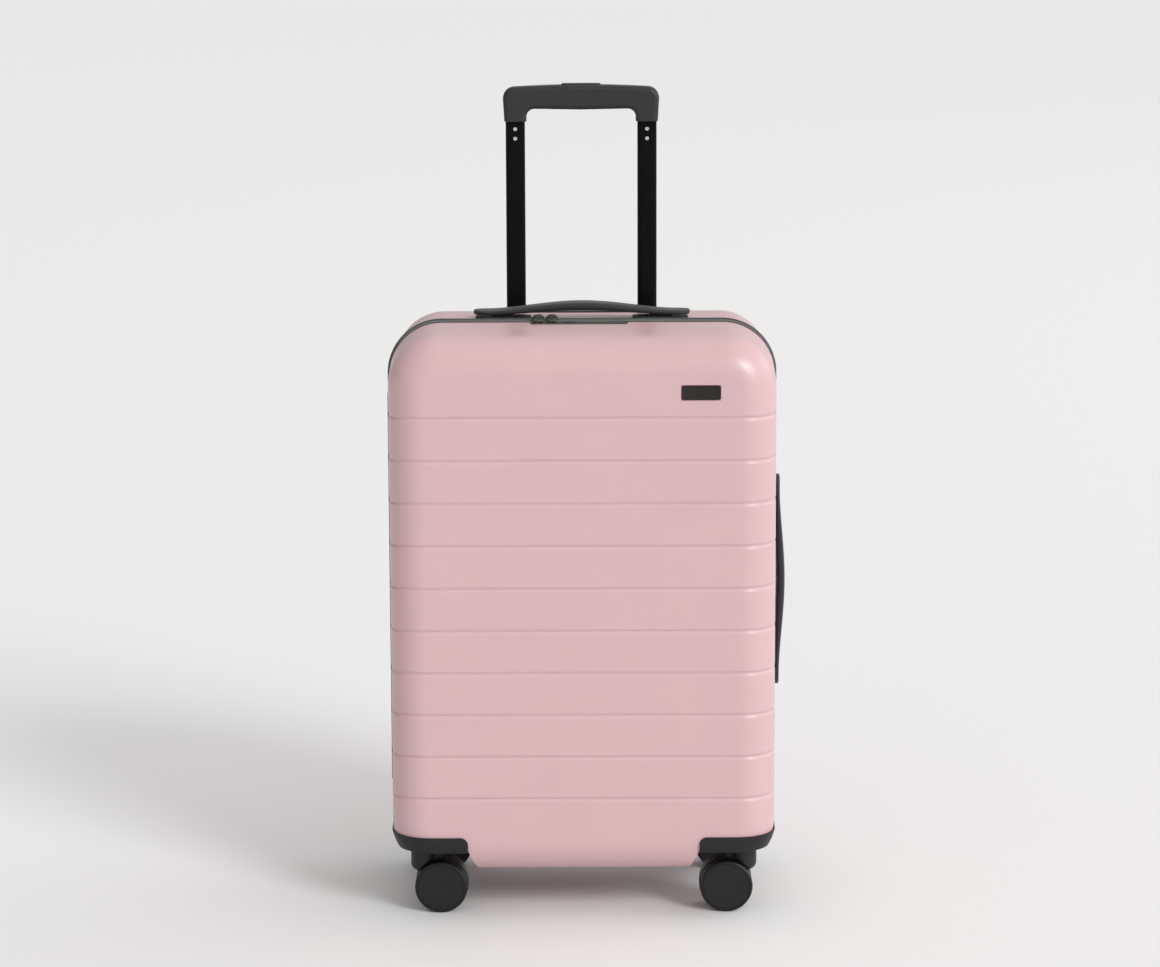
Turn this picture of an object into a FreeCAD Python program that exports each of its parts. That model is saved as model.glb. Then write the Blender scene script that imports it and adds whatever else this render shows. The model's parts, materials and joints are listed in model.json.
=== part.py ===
import FreeCAD, Part
import math
import os

from FreeCAD import Vector

# Hard shell cabin suitcase on four twin-wheel casters.
# Frame: origin on the floor under the middle of the case, +Z up, +X to the right, and the front
# half of the case on the -Y side. Millimetres. The zip seam lies in the plane y = 0.

# ---------------------------------------------------------------- driving dimensions
case_width = 366.0          # across the shells, at the seam
case_height = 514.0         # of the shells alone
half_depth = 119.0          # from the seam to the flat face of each shell
corner_radius = 50.0        # of the case outline, seen from the front
edge_radius = 34.0          # where the flat face turns into the sides
draft_deg = 1.5             # the sides lean in towards each face
shell_wall = 2.6
rim_setback = 2.5           # each shell's rim stops this far from the seam

groove_count = 10
groove_margin = 76.0        # from the top and the bottom of the shells to the nearest groove
groove_depth = 1.1
groove_cutter_radius = 3.4

lining_thickness = 1.2
lining_gap = 0.6            # between a shell and its lining

# wheel wells in the four lower corners
well_headroom = 18.0        # above the top of a wheel
well_inboard = 26.6         # from a wheel's axis to the inner side of its well, at the ceiling
well_splay = 11.0           # that side leans inwards by this much at the bottom of the shell
well_depth_from_face = 92.0
well_corner_radius = 15.0

# corner guards
guard_proud = 2.0
guard_height = 15.0
guard_plate = 2.0           # under the ceiling of the well
guard_reach = 79.0          # from the face towards the seam
guard_corner_radius = 7.0
boss_radius = 10.0
boss_height = 14.0          # above the ceiling of the well

# casters
wheel_radius = 25.0
wheel_width = 11.5
wheel_gap = 14.0            # between the two wheels of a caster
wheel_inset = 47.4          # from the side of the case to a wheel's axis
shell_above_floor = 42.0
caster_trail = 17.0         # from the swivel axis to the wheel axis
caster_inset = 46.0         # from the face to the middle of a caster
column_radius = 12.2
column_foot = 37.6
swivel_gap = 0.8            # between a yoke and its guard
wheel_clearance = 1.3       # round each wheel, cut in its yoke
web_thickness = 12.0
hood_radius = 25.6
stem_radius = 4.0
axle_radius = 2.5
running_clearance = 0.06    # radial, between a shaft and its bore

# telescopic handle
tube_width = 18.7
tube_depth = 13.0
tube_wall = 1.2
tube_corner = 5.0
tube_clearance = 0.25       # between two nested tubes, each side
tube_inset = 27.0           # from the rear face to the middle of the tubes
tube_foot_height = 18.0     # of the outer tubes above the bottom of the shells
foot_grip = 18.0            # how far the foot reaches up round the tubes
cup_drop = 30.0             # from the top of the shells to the underside of the cup
cup_floor_thickness = 3.0
cup_clearance = 2.2         # round the grip at its ends
cup_side_clearance = 1.5
cup_wall = 2.0
cup_flange = 6.0
cup_flange_proud = 1.2
lower_travel = 213.0
tube_overlap = 60.0         # what stays nested at full reach

grip_reach = 245.0          # from the underside of the cup to the top of the grip, as drawn
grip_width = 150.6
grip_bar_height = 21.0
grip_leg_height = 33.0      # from the feet of its legs to its top
grip_shoulder = 11.7        # from the end of the grip to the middle of a tube
grip_depth = 22.0
grip_socket_depth = 12.0
grip_crown = 2.0            # the bar is this much higher in the middle
button_length = 38.0
button_width = 11.0
button_travel = 3.5
button_proud = 1.2
rivet_radius = 1.9
rivet_proud = 0.12
rivet_drop = 7.4            # from the feet of the grip to the first rivet
rivet_spacing = 9.2

# carry handles, one on top and one on the side
handle_length = 207.0
handle_width = 25.0
handle_thickness = 4.6      # at its ends
handle_swell = 3.4          # thicker than that in the middle
handle_round = 1.6
handle_flat = 14.0          # at each end, before the arch begins
top_arch = 4.2              # the middle of a strap stands this much further out than its ends
side_arch = 1.8
handle_y = 28.0
handle_lift = 7.0
handle_stop_gap = 0.2       # left under the sleeve when a handle is pulled right out
handle_gap = 1.6            # between a handle and its mount
mount_length = 53.0
mount_width = 27.0
mount_proud = 1.6
mount_inset = 28.0          # from the end of the handle to the middle of a mount
leg_length = 22.0
leg_width = 12.0
leg_clearance = 0.3
leg_flange = 2.0
leg_flange_thickness = 2.0

# zip
band_reach = 12.0           # from the seam to the edge of a tape
tape_gap = 1.7              # from the seam to a tape's inner edge
tape_lift = 0.1
tape_thickness = 1.7
teeth_inner = 0.5
teeth_outer = 1.5
teeth_low = 0.6
teeth_high = 2.2
hinge_margin = 67.0         # the hinge stops this far from the top and bottom of the shells
hinge_tape_half = 1.5

# zip sliders and pulls
slider_x = (-41.5, -28.3)
slider_length = 11.0
slider_width = 9.0
slider_thickness = 1.2
slider_clearance = 0.25
pull_width = 8.6
pull_length = 23.0
pull_thickness = 1.3
pull_pin_radius = 0.6
pull_eye_radius = 1.25

# combination lock in the front shell
lock_left = -48.4
lock_right = 43.4
lock_front = 24.0           # distance of its front edge from the seam
lock_back = 12.4
lock_proud = 1.0
lock_lip = 0.8              # the plate overlaps its opening by this
lock_body_depth = 12.0
lock_body_side = 1.6        # the body is this much wider than the plate, on each side
key_x = -2.0
key_radius = 3.2
dial_x = (7.4, 14.1, 20.8)
dial_radius = 4.2
dial_width = 4.4
dial_proud = 0.6
dial_axle_radius = 1.0
lock_button_x = -12.6
lock_button_length = 8.0
lock_button_travel = 3.0

# badge in the front face
badge_inset = 73.4          # from the side of the case to the middle of the badge
badge_drop = 52.0           # from the top of the shells
badge_width = 36.0
badge_height = 13.4
badge_pocket = 0.8
badge_proud = 0.7
badge_margin = 0.5

# inside
pocket_side_margin = 38.0
pocket_end_margin = 92.0
strap_width = 30.0
strap_thickness = 1.6
strap_spread = 130.0        # from the middle of the case to each strap
strap_y = 14.0
buckle_length = 62.0
buckle_height = 42.0
buckle_thickness = 8.0

# ---------------------------------------------------------------- worked out from them
case_bottom = shell_above_floor
case_top = case_bottom + case_height
case_middle = (case_bottom + case_top) / 2
draft = math.tan(math.radians(draft_deg))
groove_first_z = case_top - groove_margin
groove_pitch = (case_height - 2 * groove_margin) / (groove_count - 1)

wheel_x = case_width / 2 - wheel_inset
caster_y = half_depth - caster_inset
swivel_x = wheel_x + caster_trail
well_ceiling = 2 * wheel_radius + well_headroom
well_inner_x = wheel_x - well_inboard
well_foot_x = well_inner_x - well_splay
boss_top = well_ceiling + boss_height
guard_side_y = half_depth - guard_reach
yoke_top = well_ceiling - guard_plate - swivel_gap

tube_x = grip_width / 2 - grip_shoulder
tube_y = half_depth - tube_inset
outer_tube_foot = case_bottom + tube_foot_height
cup_floor = case_top - cup_drop
cup_width = grip_width + 2 * cup_clearance
cup_depth = grip_depth + 2 * cup_side_clearance
grip_top = cup_floor + grip_reach
grip_leg_foot = grip_top - grip_leg_height
rivet_first_z = grip_leg_foot - rivet_drop

mount_offset = handle_length / 2 - mount_inset
side_handle_z = case_middle
badge_x = case_width / 2 - badge_inset
badge_z = case_top - badge_drop
hinge_low = case_bottom + hinge_margin
hinge_high = case_top - hinge_margin
strap_heights = (case_middle + strap_spread, case_middle - strap_spread)
big = 1000.0


# ---------------------------------------------------------------- shapes
def box(x0, x1, y0, y1, z0, z1):
    return Part.makeBox(x1 - x0, y1 - y0, z1 - z0, Vector(x0, y0, z0))


def cylinder(radius, start, axis, length):
    return Part.makeCylinder(radius, length, Vector(*start), Vector(*axis))


def fuse(shapes):
    whole = shapes[0]
    if len(shapes) > 1:
        whole = whole.fuse(shapes[1:])
    return whole.removeSplitter()


def mirror_y(shape):
    """The same shape on the other side of the seam."""
    return shape.mirror(Vector(0, 0, 0), Vector(0, 1, 0))


def mirror_x(shape):
    return shape.mirror(Vector(0, 0, 0), Vector(1, 0, 0))


def rounded_wire(width, height, radius, centre, u, v):
    """A rounded rectangle round centre, with its width along u and its height along v."""
    u = Vector(*u)
    v = Vector(*v)
    centre = Vector(*centre)
    a = width / 2
    b = height / 2
    diagonal = radius * (1 - math.sqrt(0.5))

    def at(x, y):
        return centre + u * x + v * y

    edges = []
    corners = ((1, -1), (1, 1), (-1, 1), (-1, -1))
    points = []
    for sx, sy in corners:
        before = at(sx * a, sy * (b - radius))
        after = at(sx * (a - radius), sy * b)
        if sx * sy < 0:
            before, after = after, before
        points.append((before, at(sx * (a - diagonal), sy * (b - diagonal)), after))
    for k in range(4):
        before, middle, after = points[k]
        edges.append(Part.Arc(before, middle, after).toShape())
        following = points[(k + 1) % 4][0]
        if (following - after).Length > 1e-6:
            edges.append(Part.LineSegment(after, following).toShape())
    return Part.Wire(edges)


def rounded_bar(width, height, radius, centre, u, v, along):
    """A bar of rounded rectangular section, extruded by the vector along."""
    wire = rounded_wire(width, height, radius, centre, u, v)
    return Part.Face(wire).extrude(Vector(*along))


def outline(grow, y):
    """The case's outline in the plane y, grown outwards."""
    lean = abs(y) * draft
    width = case_width + 2 * (grow - lean)
    height = case_height + 2 * (grow - lean)
    radius = corner_radius + grow - lean
    middle = case_bottom + case_height / 2
    return rounded_wire(width, height, radius, (0, y, middle), (1, 0, 0), (0, 0, 1))


def tub(grow):
    """The solid outside form of the front half, grown by a distance all round."""
    face_y = -(half_depth + grow)
    solid = Part.makeLoft([outline(grow, 0), outline(grow, face_y)], True, True)
    rim = [e for e in solid.Edges if all(abs(v.Y - face_y) < 1e-6 for v in e.Vertexes)]
    return solid.makeFillet(edge_radius + grow, rim)


def well(grow, side):
    """One front wheel well; side is -1 for the left and 1 for the right."""
    top = well_ceiling + grow
    slope = (well_inner_x - well_foot_x) / (well_ceiling - case_bottom)
    low = case_bottom - 20
    top_x = well_inner_x - grow
    foot_x = top_x - slope * (top - low)
    back = -(half_depth - well_depth_from_face) + grow
    outline_points = [
        Vector(top_x, back, top),
        Vector(case_width, back, top),
        Vector(case_width, back, low),
        Vector(foot_x, back, low),
        Vector(top_x, back, top),
    ]
    face = Part.Face(Part.makePolygon(outline_points))
    solid = face.extrude(Vector(0, -(half_depth + 40), 0))

    def is_inner_back(edge):
        ends = edge.Vertexes
        on_back = all(abs(v.Y - back) < 1e-6 for v in ends)
        return on_back and {round(v.X, 3) for v in ends} == {round(top_x, 3), round(foot_x, 3)}

    solid = solid.makeFillet(well_corner_radius + grow, [e for e in solid.Edges if is_inner_back(e)])
    return solid if side > 0 else mirror_x(solid)


def tub_with_wells(grow):
    """The outside form less its two wells; the wells keep their own wall thickness."""
    return tub(grow).cut([well(-grow, -1), well(-grow, 1)])


def groove_path(z, offset):
    """The line round the two sides and the face at height z, this far outside them."""
    half = case_width / 2 + offset / math.cos(math.radians(draft_deg))
    lean = math.radians(draft_deg)
    radius = edge_radius + offset
    centre_y = -(half_depth - edge_radius)
    centre_x = half + centre_y * draft - radius / math.cos(lean)

    def arc(sign):
        side = Vector(sign * (centre_x + radius * math.cos(lean)), centre_y - radius * math.sin(lean), z)
        turn = (math.pi / 2 + lean) / 2
        middle = Vector(sign * (centre_x + radius * math.cos(turn)), centre_y - radius * math.sin(turn), z)
        face = Vector(sign * centre_x, centre_y - radius, z)
        return side, middle, face

    left = arc(-1)
    right = arc(1)
    edges = [
        Part.LineSegment(Vector(-half, 0, z), left[0]).toShape(),
        Part.Arc(*left).toShape(),
        Part.LineSegment(left[2], right[2]).toShape(),
        Part.Arc(right[2], right[1], right[0]).toShape(),
        Part.LineSegment(right[0], Vector(half, 0, z)).toShape(),
    ]
    return Part.Wire(edges)


def groove(z):
    path = groove_path(z, groove_cutter_radius - groove_depth)
    start = path.Vertexes[0].Point
    ahead = path.Edges[0].Vertexes[1].Point - start
    profile = Part.Wire([Part.makeCircle(groove_cutter_radius, start, ahead)])
    return path.makePipeShell([profile], True, False)


def behind_seam(setback):
    """Everything on the +Y side of the plane y = -setback."""
    return box(-big, big, -setback, big, -big, big)


def shell():
    """One moulded shell, in the front place and with no openings cut in it yet."""
    solid = tub_with_wells(0).cut(tub_with_wells(-shell_wall))
    grooves = [groove(groove_first_z - k * groove_pitch) for k in range(groove_count)]
    return solid.cut(grooves + [behind_seam(rim_setback)])


def band(low, high, near, far):
    """A ring round the seam on the front side, between two heights above the shell."""
    slab = box(-big, big, -far, -near, -big, big)
    return tub(high).cut(tub(low)).common(slab)


# ---------------------------------------------------------------- corner guards and casters
def swivel_point(side):
    return side * swivel_x, -caster_y


def guard(side):
    """The front guard of one side: a skirt round the corner, a plate and a boss for the stem."""
    low = well_ceiling - guard_plate
    height = guard_height
    reach = case_width
    front_view = rounded_bar(
        2 * (reach - well_inner_x), 2 * height, guard_corner_radius,
        (reach, 0, low), (1, 0, 0), (0, 0, 1), (0, -2 * half_depth, 0))
    side_view = rounded_bar(
        2 * (reach - guard_side_y), 2 * height, guard_corner_radius,
        (0, -reach, low), (0, 1, 0), (0, 0, 1), (case_width, 0, 0))
    window = front_view.common(side_view).common(box(0, big, -big, 0, low, big))
    skirt = tub(guard_proud).common(window).cut(tub(0).cut(well(0, 1)))
    x, y = swivel_point(1)
    boss = cylinder(boss_radius, (x, y, low), (0, 0, 1), boss_top - low)
    bore = cylinder(stem_radius + running_clearance, (x, y, 0), (0, 0, 1), big)
    solid = skirt.fuse(boss).removeSplitter().cut([bore] + screw_cores(0.0))
    return solid if side > 0 else mirror_x(solid)


def screw_places():
    """Where the three screws of a front right guard stand."""
    x, y = swivel_point(1)
    spread = 19.0
    angles = (100, 190, 280)
    return [(x + spread * math.cos(math.radians(a)), y + spread * math.sin(math.radians(a))) for a in angles]


def screw_cores(grow):
    foot = well_ceiling - guard_plate + 0.4
    return [cylinder(1.5 + grow, (x, y, foot), (0, 0, 1), 8.0) for x, y in screw_places()]


def guard_screws(side):
    solids = []
    seat = well_ceiling + shell_wall
    foot = well_ceiling - guard_plate + 0.4
    for x, y in screw_places():
        shank = cylinder(1.5, (x, y, foot), (0, 0, 1), seat - foot)
        head = cylinder(3.0, (x, y, seat), (0, 0, 1), 1.8)
        solids.append(shank.fuse(head).removeSplitter())
    return solids if side > 0 else [mirror_x(s) for s in solids]


def guard_openings(side):
    """What the boss and the screws take out of the shell."""
    x, y = swivel_point(1)
    hole = cylinder(boss_radius + 0.3, (x, y, well_ceiling - 1), (0, 0, 1), shell_wall + 2)
    shapes = [hole] + screw_cores(0.2)
    return shapes if side > 0 else [mirror_x(s) for s in shapes]


def yoke():
    """The swivelling fork of the front right caster: a column, and a web between the wheels."""
    x, y = swivel_point(1)
    axis = (wheel_x, y, wheel_radius)
    column = cylinder(column_radius, (x, y, column_foot), (0, 0, 1), yoke_top - column_foot)
    low_rim = [e for e in column.Edges if e.Vertexes and all(abs(v.Z - column_foot) < 1e-6 for v in e.Vertexes)
               and e.Curve.TypeId == "Part::GeomCircle"]
    column = column.makeFillet(column_radius * 0.62, low_rim)
    clear = wheel_radius + wheel_clearance
    half_gap = web_thickness / 2
    for sign in (-1, 1):
        start = (axis[0], axis[1] + sign * half_gap, axis[2])
        column = column.cut(cylinder(clear, start, (0, sign, 0), big))
    web = cylinder(hood_radius, (axis[0], axis[1] - half_gap, axis[2]), (0, 1, 0), web_thickness)
    keep = box(axis[0] - hood_radius, x, y - half_gap, y + half_gap, axis[2] - 7.0, yoke_top)
    shoulder = box(axis[0], x, y - half_gap, y + half_gap, axis[2], yoke_top)
    solid = fuse([column, web.common(keep), shoulder])
    stem_bore = cylinder(stem_radius, (x, y, yoke_top - 20.0), (0, 0, 1), big)
    axle_bore = cylinder(axle_radius, (axis[0], -big, axis[2]), (0, 1, 0), 2 * big)
    return solid.cut([stem_bore, axle_bore])


def caster_steel():
    """The stem that the yoke swivels on, and the axle of its wheels."""
    x, y = swivel_point(1)
    foot = yoke_top - 20.0
    stem = cylinder(stem_radius, (x, y, foot), (0, 0, 1), boss_top + 0.6 - foot)
    head = cylinder(stem_radius + 2.4, (x, y, boss_top + 0.3), (0, 0, 1), 1.6)
    half = wheel_gap / 2 + wheel_width - 3.0
    axle = cylinder(axle_radius, (wheel_x, y - half, wheel_radius), (0, 1, 0), 2 * half)
    return [stem.fuse(head).removeSplitter(), axle]


def wheel(sign):
    """One wheel of the front right caster; sign -1 is its front wheel, 1 its back wheel."""
    y = -caster_y + sign * wheel_gap / 2
    out = (0, sign, 0)
    tread_round = 2.2
    disc = cylinder(wheel_radius, (wheel_x, y, wheel_radius), out, wheel_width)
    rims = [e for e in disc.Edges if e.Curve.TypeId == "Part::GeomCircle"]
    disc = disc.makeFillet(tread_round, rims)
    far = y + sign * wheel_width
    ring_foot = (wheel_x, far - sign * 0.6, wheel_radius)
    groove_ring = cylinder(22.4, ring_foot, out, 1.0).cut(cylinder(21.8, ring_foot, out, 1.0))
    bore = cylinder(axle_radius + running_clearance, (wheel_x, y, wheel_radius), out, wheel_width - 2.6)
    recess = cylinder(15.0, (wheel_x, y, wheel_radius), out, 2.4).cut(
        cylinder(5.2, (wheel_x, y, wheel_radius), out, 2.4))
    return disc.cut([groove_ring, bore, recess])


# ---------------------------------------------------------------- telescopic handle
def tube_section(level, hollow):
    """Outer or inner size of a tube; level 0 is the visible one, 1 the middle, 2 the outer."""
    grow = level * (tube_wall + tube_clearance) - (tube_wall if hollow else 0)
    return tube_width + 2 * grow, tube_depth + 2 * grow, tube_corner + grow


def tube_bar(side, level, hollow, low, high, extra=0.0):
    width, depth, corner = tube_section(level, hollow)
    return rounded_bar(
        width + 2 * extra, depth + 2 * extra, corner + extra,
        (side * tube_x, tube_y, low), (1, 0, 0), (0, 1, 0), (0, 0, high - low))


def tube(side, level, low, high):
    return tube_bar(side, level, False, low, high).cut(tube_bar(side, level, True, low, high))


def upper_tube_foot():
    return cup_floor - tube_overlap


def middle_tube_foot():
    return cup_floor - lower_travel - tube_overlap


def grip():
    """The moulded handle: a bar with a raised middle and two legs that take the tubes."""
    half = grip_width / 2
    leg_half = tube_width / 2 + 1.1
    bar_foot = grip_top - grip_bar_height
    outer_round = 11.0
    inner_round = 8.0
    leg_out = tube_x + leg_half - 1.2
    leg_in = tube_x - leg_half - 0.4
    right = [
        (0, grip_top + grip_crown),
        (half - outer_round, grip_top),
        (half, grip_top - outer_round),
        (leg_out + 1.2, grip_leg_foot),
        (leg_in, grip_leg_foot),
        (leg_in, bar_foot - inner_round),
        (leg_in - inner_round, bar_foot),
        (0, bar_foot - 0.8),
    ]

    def p(x, z):
        return Vector(x, tube_y - grip_depth / 2, z)

    def side_edges(s):
        pts = [p(s * x, z) for x, z in right]
        bulge = outer_round * (1 - math.sqrt(0.5))
        outer_mid = p(s * (half - bulge), grip_top - bulge)
        inner_bulge = inner_round * (1 - math.sqrt(0.5))
        inner_mid = p(s * (leg_in - inner_bulge), bar_foot - inner_bulge)
        crown_mid = p(s * (half - outer_round) / 2, grip_top + grip_crown * 0.72)
        return [
            Part.Arc(pts[0], crown_mid, pts[1]).toShape(),
            Part.Arc(pts[1], outer_mid, pts[2]).toShape(),
            Part.LineSegment(pts[2], pts[3]).toShape(),
            Part.LineSegment(pts[3], pts[4]).toShape(),
            Part.LineSegment(pts[4], pts[5]).toShape(),
            Part.Arc(pts[5], inner_mid, pts[6]).toShape(),
            Part.LineSegment(pts[6], pts[7]).toShape(),
        ]

    edges = side_edges(1) + side_edges(-1)
    wire = Part.Wire(Part.__sortEdges__(edges))
    solid = Part.Face(wire).extrude(Vector(0, grip_depth, 0))
    ends = (tube_y - grip_depth / 2, tube_y + grip_depth / 2)
    rounded = [e for e in solid.Edges
               if any(all(abs(v.Y - y) < 1e-6 for v in e.Vertexes) for y in ends)
               and not all(abs(v.Z - grip_leg_foot) < 1e-6 for v in e.Vertexes)]
    solid = solid.makeFillet(4.5, rounded)
    cuts = [tube_bar(s, 0, False, grip_leg_foot - 1, grip_leg_foot + grip_socket_depth, 0.1) for s in (-1, 1)]
    cuts.append(button_space(0.25, grip_top + grip_crown + 5))
    cuts += linkage_space()
    return solid.cut(cuts)


def button_space(extra, high):
    low = grip_top - 8.0
    return rounded_bar(
        button_length + 2 * extra, button_width + 2 * extra, 4.0 + extra,
        (0, tube_y, low), (1, 0, 0), (0, 1, 0), (0, 0, high - low))


def linkage_space():
    """Room in the grip for the release bar and its rods."""
    low = grip_top - 16.0
    bar = box(-tube_x - 5, tube_x + 5, tube_y - 3.2, tube_y + 3.2, low - 0.3, low + 8.4)
    shafts = [cylinder(3.0, (s * tube_x, tube_y, grip_leg_foot), (0, 0, 1), low - grip_leg_foot + 1) for s in (-1, 1)]
    return [bar] + shafts


def grip_button():
    low = grip_top - 8.0 + button_travel + 0.6
    high = grip_top + grip_crown + button_proud
    solid = rounded_bar(
        button_length, button_width, 4.0,
        (0, tube_y, low), (1, 0, 0), (0, 1, 0), (0, 0, high - low))
    rim = [e for e in solid.Edges if all(abs(v.Z - high) < 1e-6 for v in e.Vertexes)]
    return solid.makeFillet(1.0, rim)


def release_linkage():
    """The bar under the button and the two rods that run down inside the upper tubes."""
    rest = grip_top - 8.0 + button_travel + 0.6
    bar_low = grip_top - 16.0 + button_travel + 0.3
    bar = box(-tube_x - 2.5, tube_x + 2.5, tube_y - 2.5, tube_y + 2.5, bar_low, bar_low + 3.5)
    post = box(-6, 6, tube_y - 2.5, tube_y + 2.5, bar_low, rest)
    rods = [cylinder(2.0, (s * tube_x, tube_y, upper_tube_foot() + 12), (0, 0, 1),
                     bar_low - upper_tube_foot() - 11) for s in (-1, 1)]
    return fuse([bar, post] + rods)


def upper_tubes():
    top = grip_leg_foot + grip_socket_depth - 0.5
    solids = []
    for s in (-1, 1):
        solid = tube(s, 0, upper_tube_foot(), top)
        solids.append(solid.cut([rivet_hole(s, k, 0.0) for k in range(2)]))
    return solids


def rivet_hole(side, k, extra):
    z = rivet_first_z - k * rivet_spacing
    return cylinder(rivet_radius + extra, (side * tube_x, tube_y - tube_depth, z), (0, 1, 0), tube_depth)


def rivets():
    """Pins in the front of each upper tube, below the grip; their heads clear the middle tubes."""
    solids = []
    front = tube_y - tube_depth / 2
    for s in (-1, 1):
        for k in range(2):
            z = rivet_first_z - k * rivet_spacing
            shank = cylinder(rivet_radius, (s * tube_x, front - rivet_proud, z), (0, 1, 0), 1.9)
            rim = [e for e in shank.Edges if e.Vertexes and all(v.Y < front for v in e.Vertexes)]
            solids.append(shank.makeChamfer(rivet_proud, rim))
    return solids


def cup():
    """The bezel that the tubes rise through and that the grip sinks into."""
    outer_w = cup_width + 2 * cup_wall
    outer_d = cup_depth + 2 * cup_wall
    lid = mirror_y(tub(cup_flange_proud))
    flange_bar = rounded_bar(
        outer_w + 2 * cup_flange, outer_d + 2 * cup_flange, 9.0,
        (0, tube_y, cup_floor), (1, 0, 0), (0, 1, 0), (0, 0, 80))
    flange = lid.cut(mirror_y(tub(0))).common(flange_bar).common(box(-big, big, 0, big, case_top - 40, big))
    pocket = rounded_bar(outer_w, outer_d, 7.0, (0, tube_y, cup_floor), (1, 0, 0), (0, 1, 0), (0, 0, 80))
    pocket = pocket.common(lid)
    cavity = rounded_bar(
        cup_width, cup_depth, 5.0,
        (0, tube_y, cup_floor + cup_floor_thickness), (1, 0, 0), (0, 1, 0), (0, 0, 80))
    holes = [tube_bar(s, 1, False, cup_floor - 1, cup_floor + 10, tube_clearance) for s in (-1, 1)]
    return flange.fuse(pocket).removeSplitter().cut([cavity] + holes)


def cup_opening():
    return rounded_bar(
        cup_width + 2 * cup_wall + 0.4, cup_depth + 2 * cup_wall + 0.4, 7.2,
        (0, tube_y, cup_floor), (1, 0, 0), (0, 1, 0), (0, 0, 80))


def tube_foot():
    """The bracket that holds the lower ends of the outer tubes."""
    width, depth, corner = tube_section(2, False)
    low = outer_tube_foot
    blocks = [box(-tube_x, tube_x, tube_y - 5, tube_y + 5, case_bottom, low + 6)]
    for s in (-1, 1):
        blocks.append(rounded_bar(width + 5, depth + 5, corner + 2.5,
                                  (s * tube_x, tube_y, case_bottom), (1, 0, 0), (0, 1, 0),
                                  (0, 0, low + foot_grip - case_bottom)))
    sockets = [tube_bar(s, 2, False, low, low + 40, 0.05) for s in (-1, 1)]
    inside = mirror_y(tub(-shell_wall))
    return fuse(blocks).common(inside).cut(sockets)


# ---------------------------------------------------------------- carry handles
# Modelled lying along X at the origin, with +Z away from the case, then carried to their places.
def handle_strap(arch):
    """The arched strap with its two legs; the case's surface is the plane z = 0."""
    half = handle_length / 2
    foot = mount_proud + handle_gap
    knee = half - handle_flat

    def line(low, rise):
        ends = Vector(-half, 0, low), Vector(half, 0, low)
        knees = Vector(-knee, 0, low + 0.15), Vector(knee, 0, low + 0.15)
        quarters = Vector(-knee / 2, 0, low + rise * 0.55), Vector(knee / 2, 0, low + rise * 0.55)
        curve = Part.BSplineCurve()
        curve.interpolate([ends[0], knees[0], quarters[0], Vector(0, 0, low + rise),
                           quarters[1], knees[1], ends[1]],
                          InitialTangent=Vector(1, 0, 0), FinalTangent=Vector(1, 0, 0))
        return curve.toShape(), ends[0], ends[1]

    under, a, e = line(foot, arch)
    over, a2, e2 = line(foot + handle_thickness, arch + handle_swell)
    wire = Part.Wire([under, Part.LineSegment(e, e2).toShape(), over, Part.LineSegment(a2, a).toShape()])
    strap = Part.Face(wire).extrude(Vector(0, handle_width, 0))
    strap.translate(Vector(0, -handle_width / 2, 0))
    plan = rounded_bar(handle_length, handle_width, handle_width / 2 - 0.5,
                       (0, 0, -5), (1, 0, 0), (0, 1, 0), (0, 0, 60))
    strap = strap.common(plan)
    strap = strap.makeFillet(handle_round, long_edges(strap))
    legs = []
    for s in (-1, 1):
        leg = rounded_bar(leg_length, leg_width, 3.0, (s * mount_offset, 0, leg_foot()),
                          (1, 0, 0), (0, 1, 0), (0, 0, foot + 1.5 - leg_foot()))
        flange = rounded_bar(leg_length + 2 * leg_flange, leg_width + 2 * leg_flange, 3.0,
                             (s * mount_offset, 0, leg_foot()), (1, 0, 0), (0, 1, 0), (0, 0, leg_flange_thickness))
        legs += [leg, flange]
    return fuse([strap] + legs)


def long_edges(strap):
    """The edges of the strap's upper and lower faces."""
    upright = [e for e in strap.Edges if e.Length < handle_thickness + 1.0]
    return [e for e in strap.Edges if not any(e.isSame(u) for u in upright)]


def sleeve_foot():
    return -(shell_wall + 1.5)


def leg_foot():
    return sleeve_foot() - handle_lift - handle_stop_gap - leg_flange_thickness


def mount_cutter():
    """Two blocks that trim the mounts out of the case's skin, at the local place."""
    plan = []
    for s in (-1, 1):
        plan.append(rounded_bar(mount_length, mount_width, 8.0, (s * (mount_offset - 0.5), 0, -4),
                                (1, 0, 0), (0, 1, 0), (0, 0, 30)))
    return plan


def sleeves(grow):
    """The collars that pass through the shell wall, at the local place."""
    return [rounded_bar(leg_length + 2 * (leg_clearance + 2.0 + grow), leg_width + 2 * (leg_clearance + 2.0 + grow),
                        4.0 + grow, (s * mount_offset, 0, sleeve_foot() - grow), (1, 0, 0), (0, 1, 0),
                        (0, 0, -sleeve_foot() + 1.0 + 2 * grow)) for s in (-1, 1)]


def leg_bores():
    return [rounded_bar(leg_length + 2 * leg_clearance, leg_width + 2 * leg_clearance, 3.0 + leg_clearance,
                        (s * mount_offset, 0, -30), (1, 0, 0), (0, 1, 0), (0, 0, 60)) for s in (-1, 1)]


def to_top(shape):
    moved = shape.copy()
    moved.translate(Vector(0, handle_y, case_top - handle_y * draft))
    return moved


def to_side(shape):
    moved = shape.copy()
    moved.rotate(Vector(0, 0, 0), Vector(0, 1, 0), 90)
    moved.translate(Vector(case_width / 2 - handle_y * draft, handle_y, side_handle_z))
    return moved


def mounts(place):
    """The two low mounts of a handle; they follow the shell's surface."""
    skin = mirror_y(tub(mount_proud)).cut(mirror_y(tub(0)))
    solids = []
    for plan, sleeve, bore in zip(mount_cutter(), sleeves(0), leg_bores()):
        plate = skin.common(place(plan))
        collar = place(sleeve).common(mirror_y(tub(1.0)))
        solid = plate.fuse(collar).removeSplitter().cut(place(bore))
        solids.append(max(solid.Solids, key=lambda s: s.Volume))
    return solids


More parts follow.
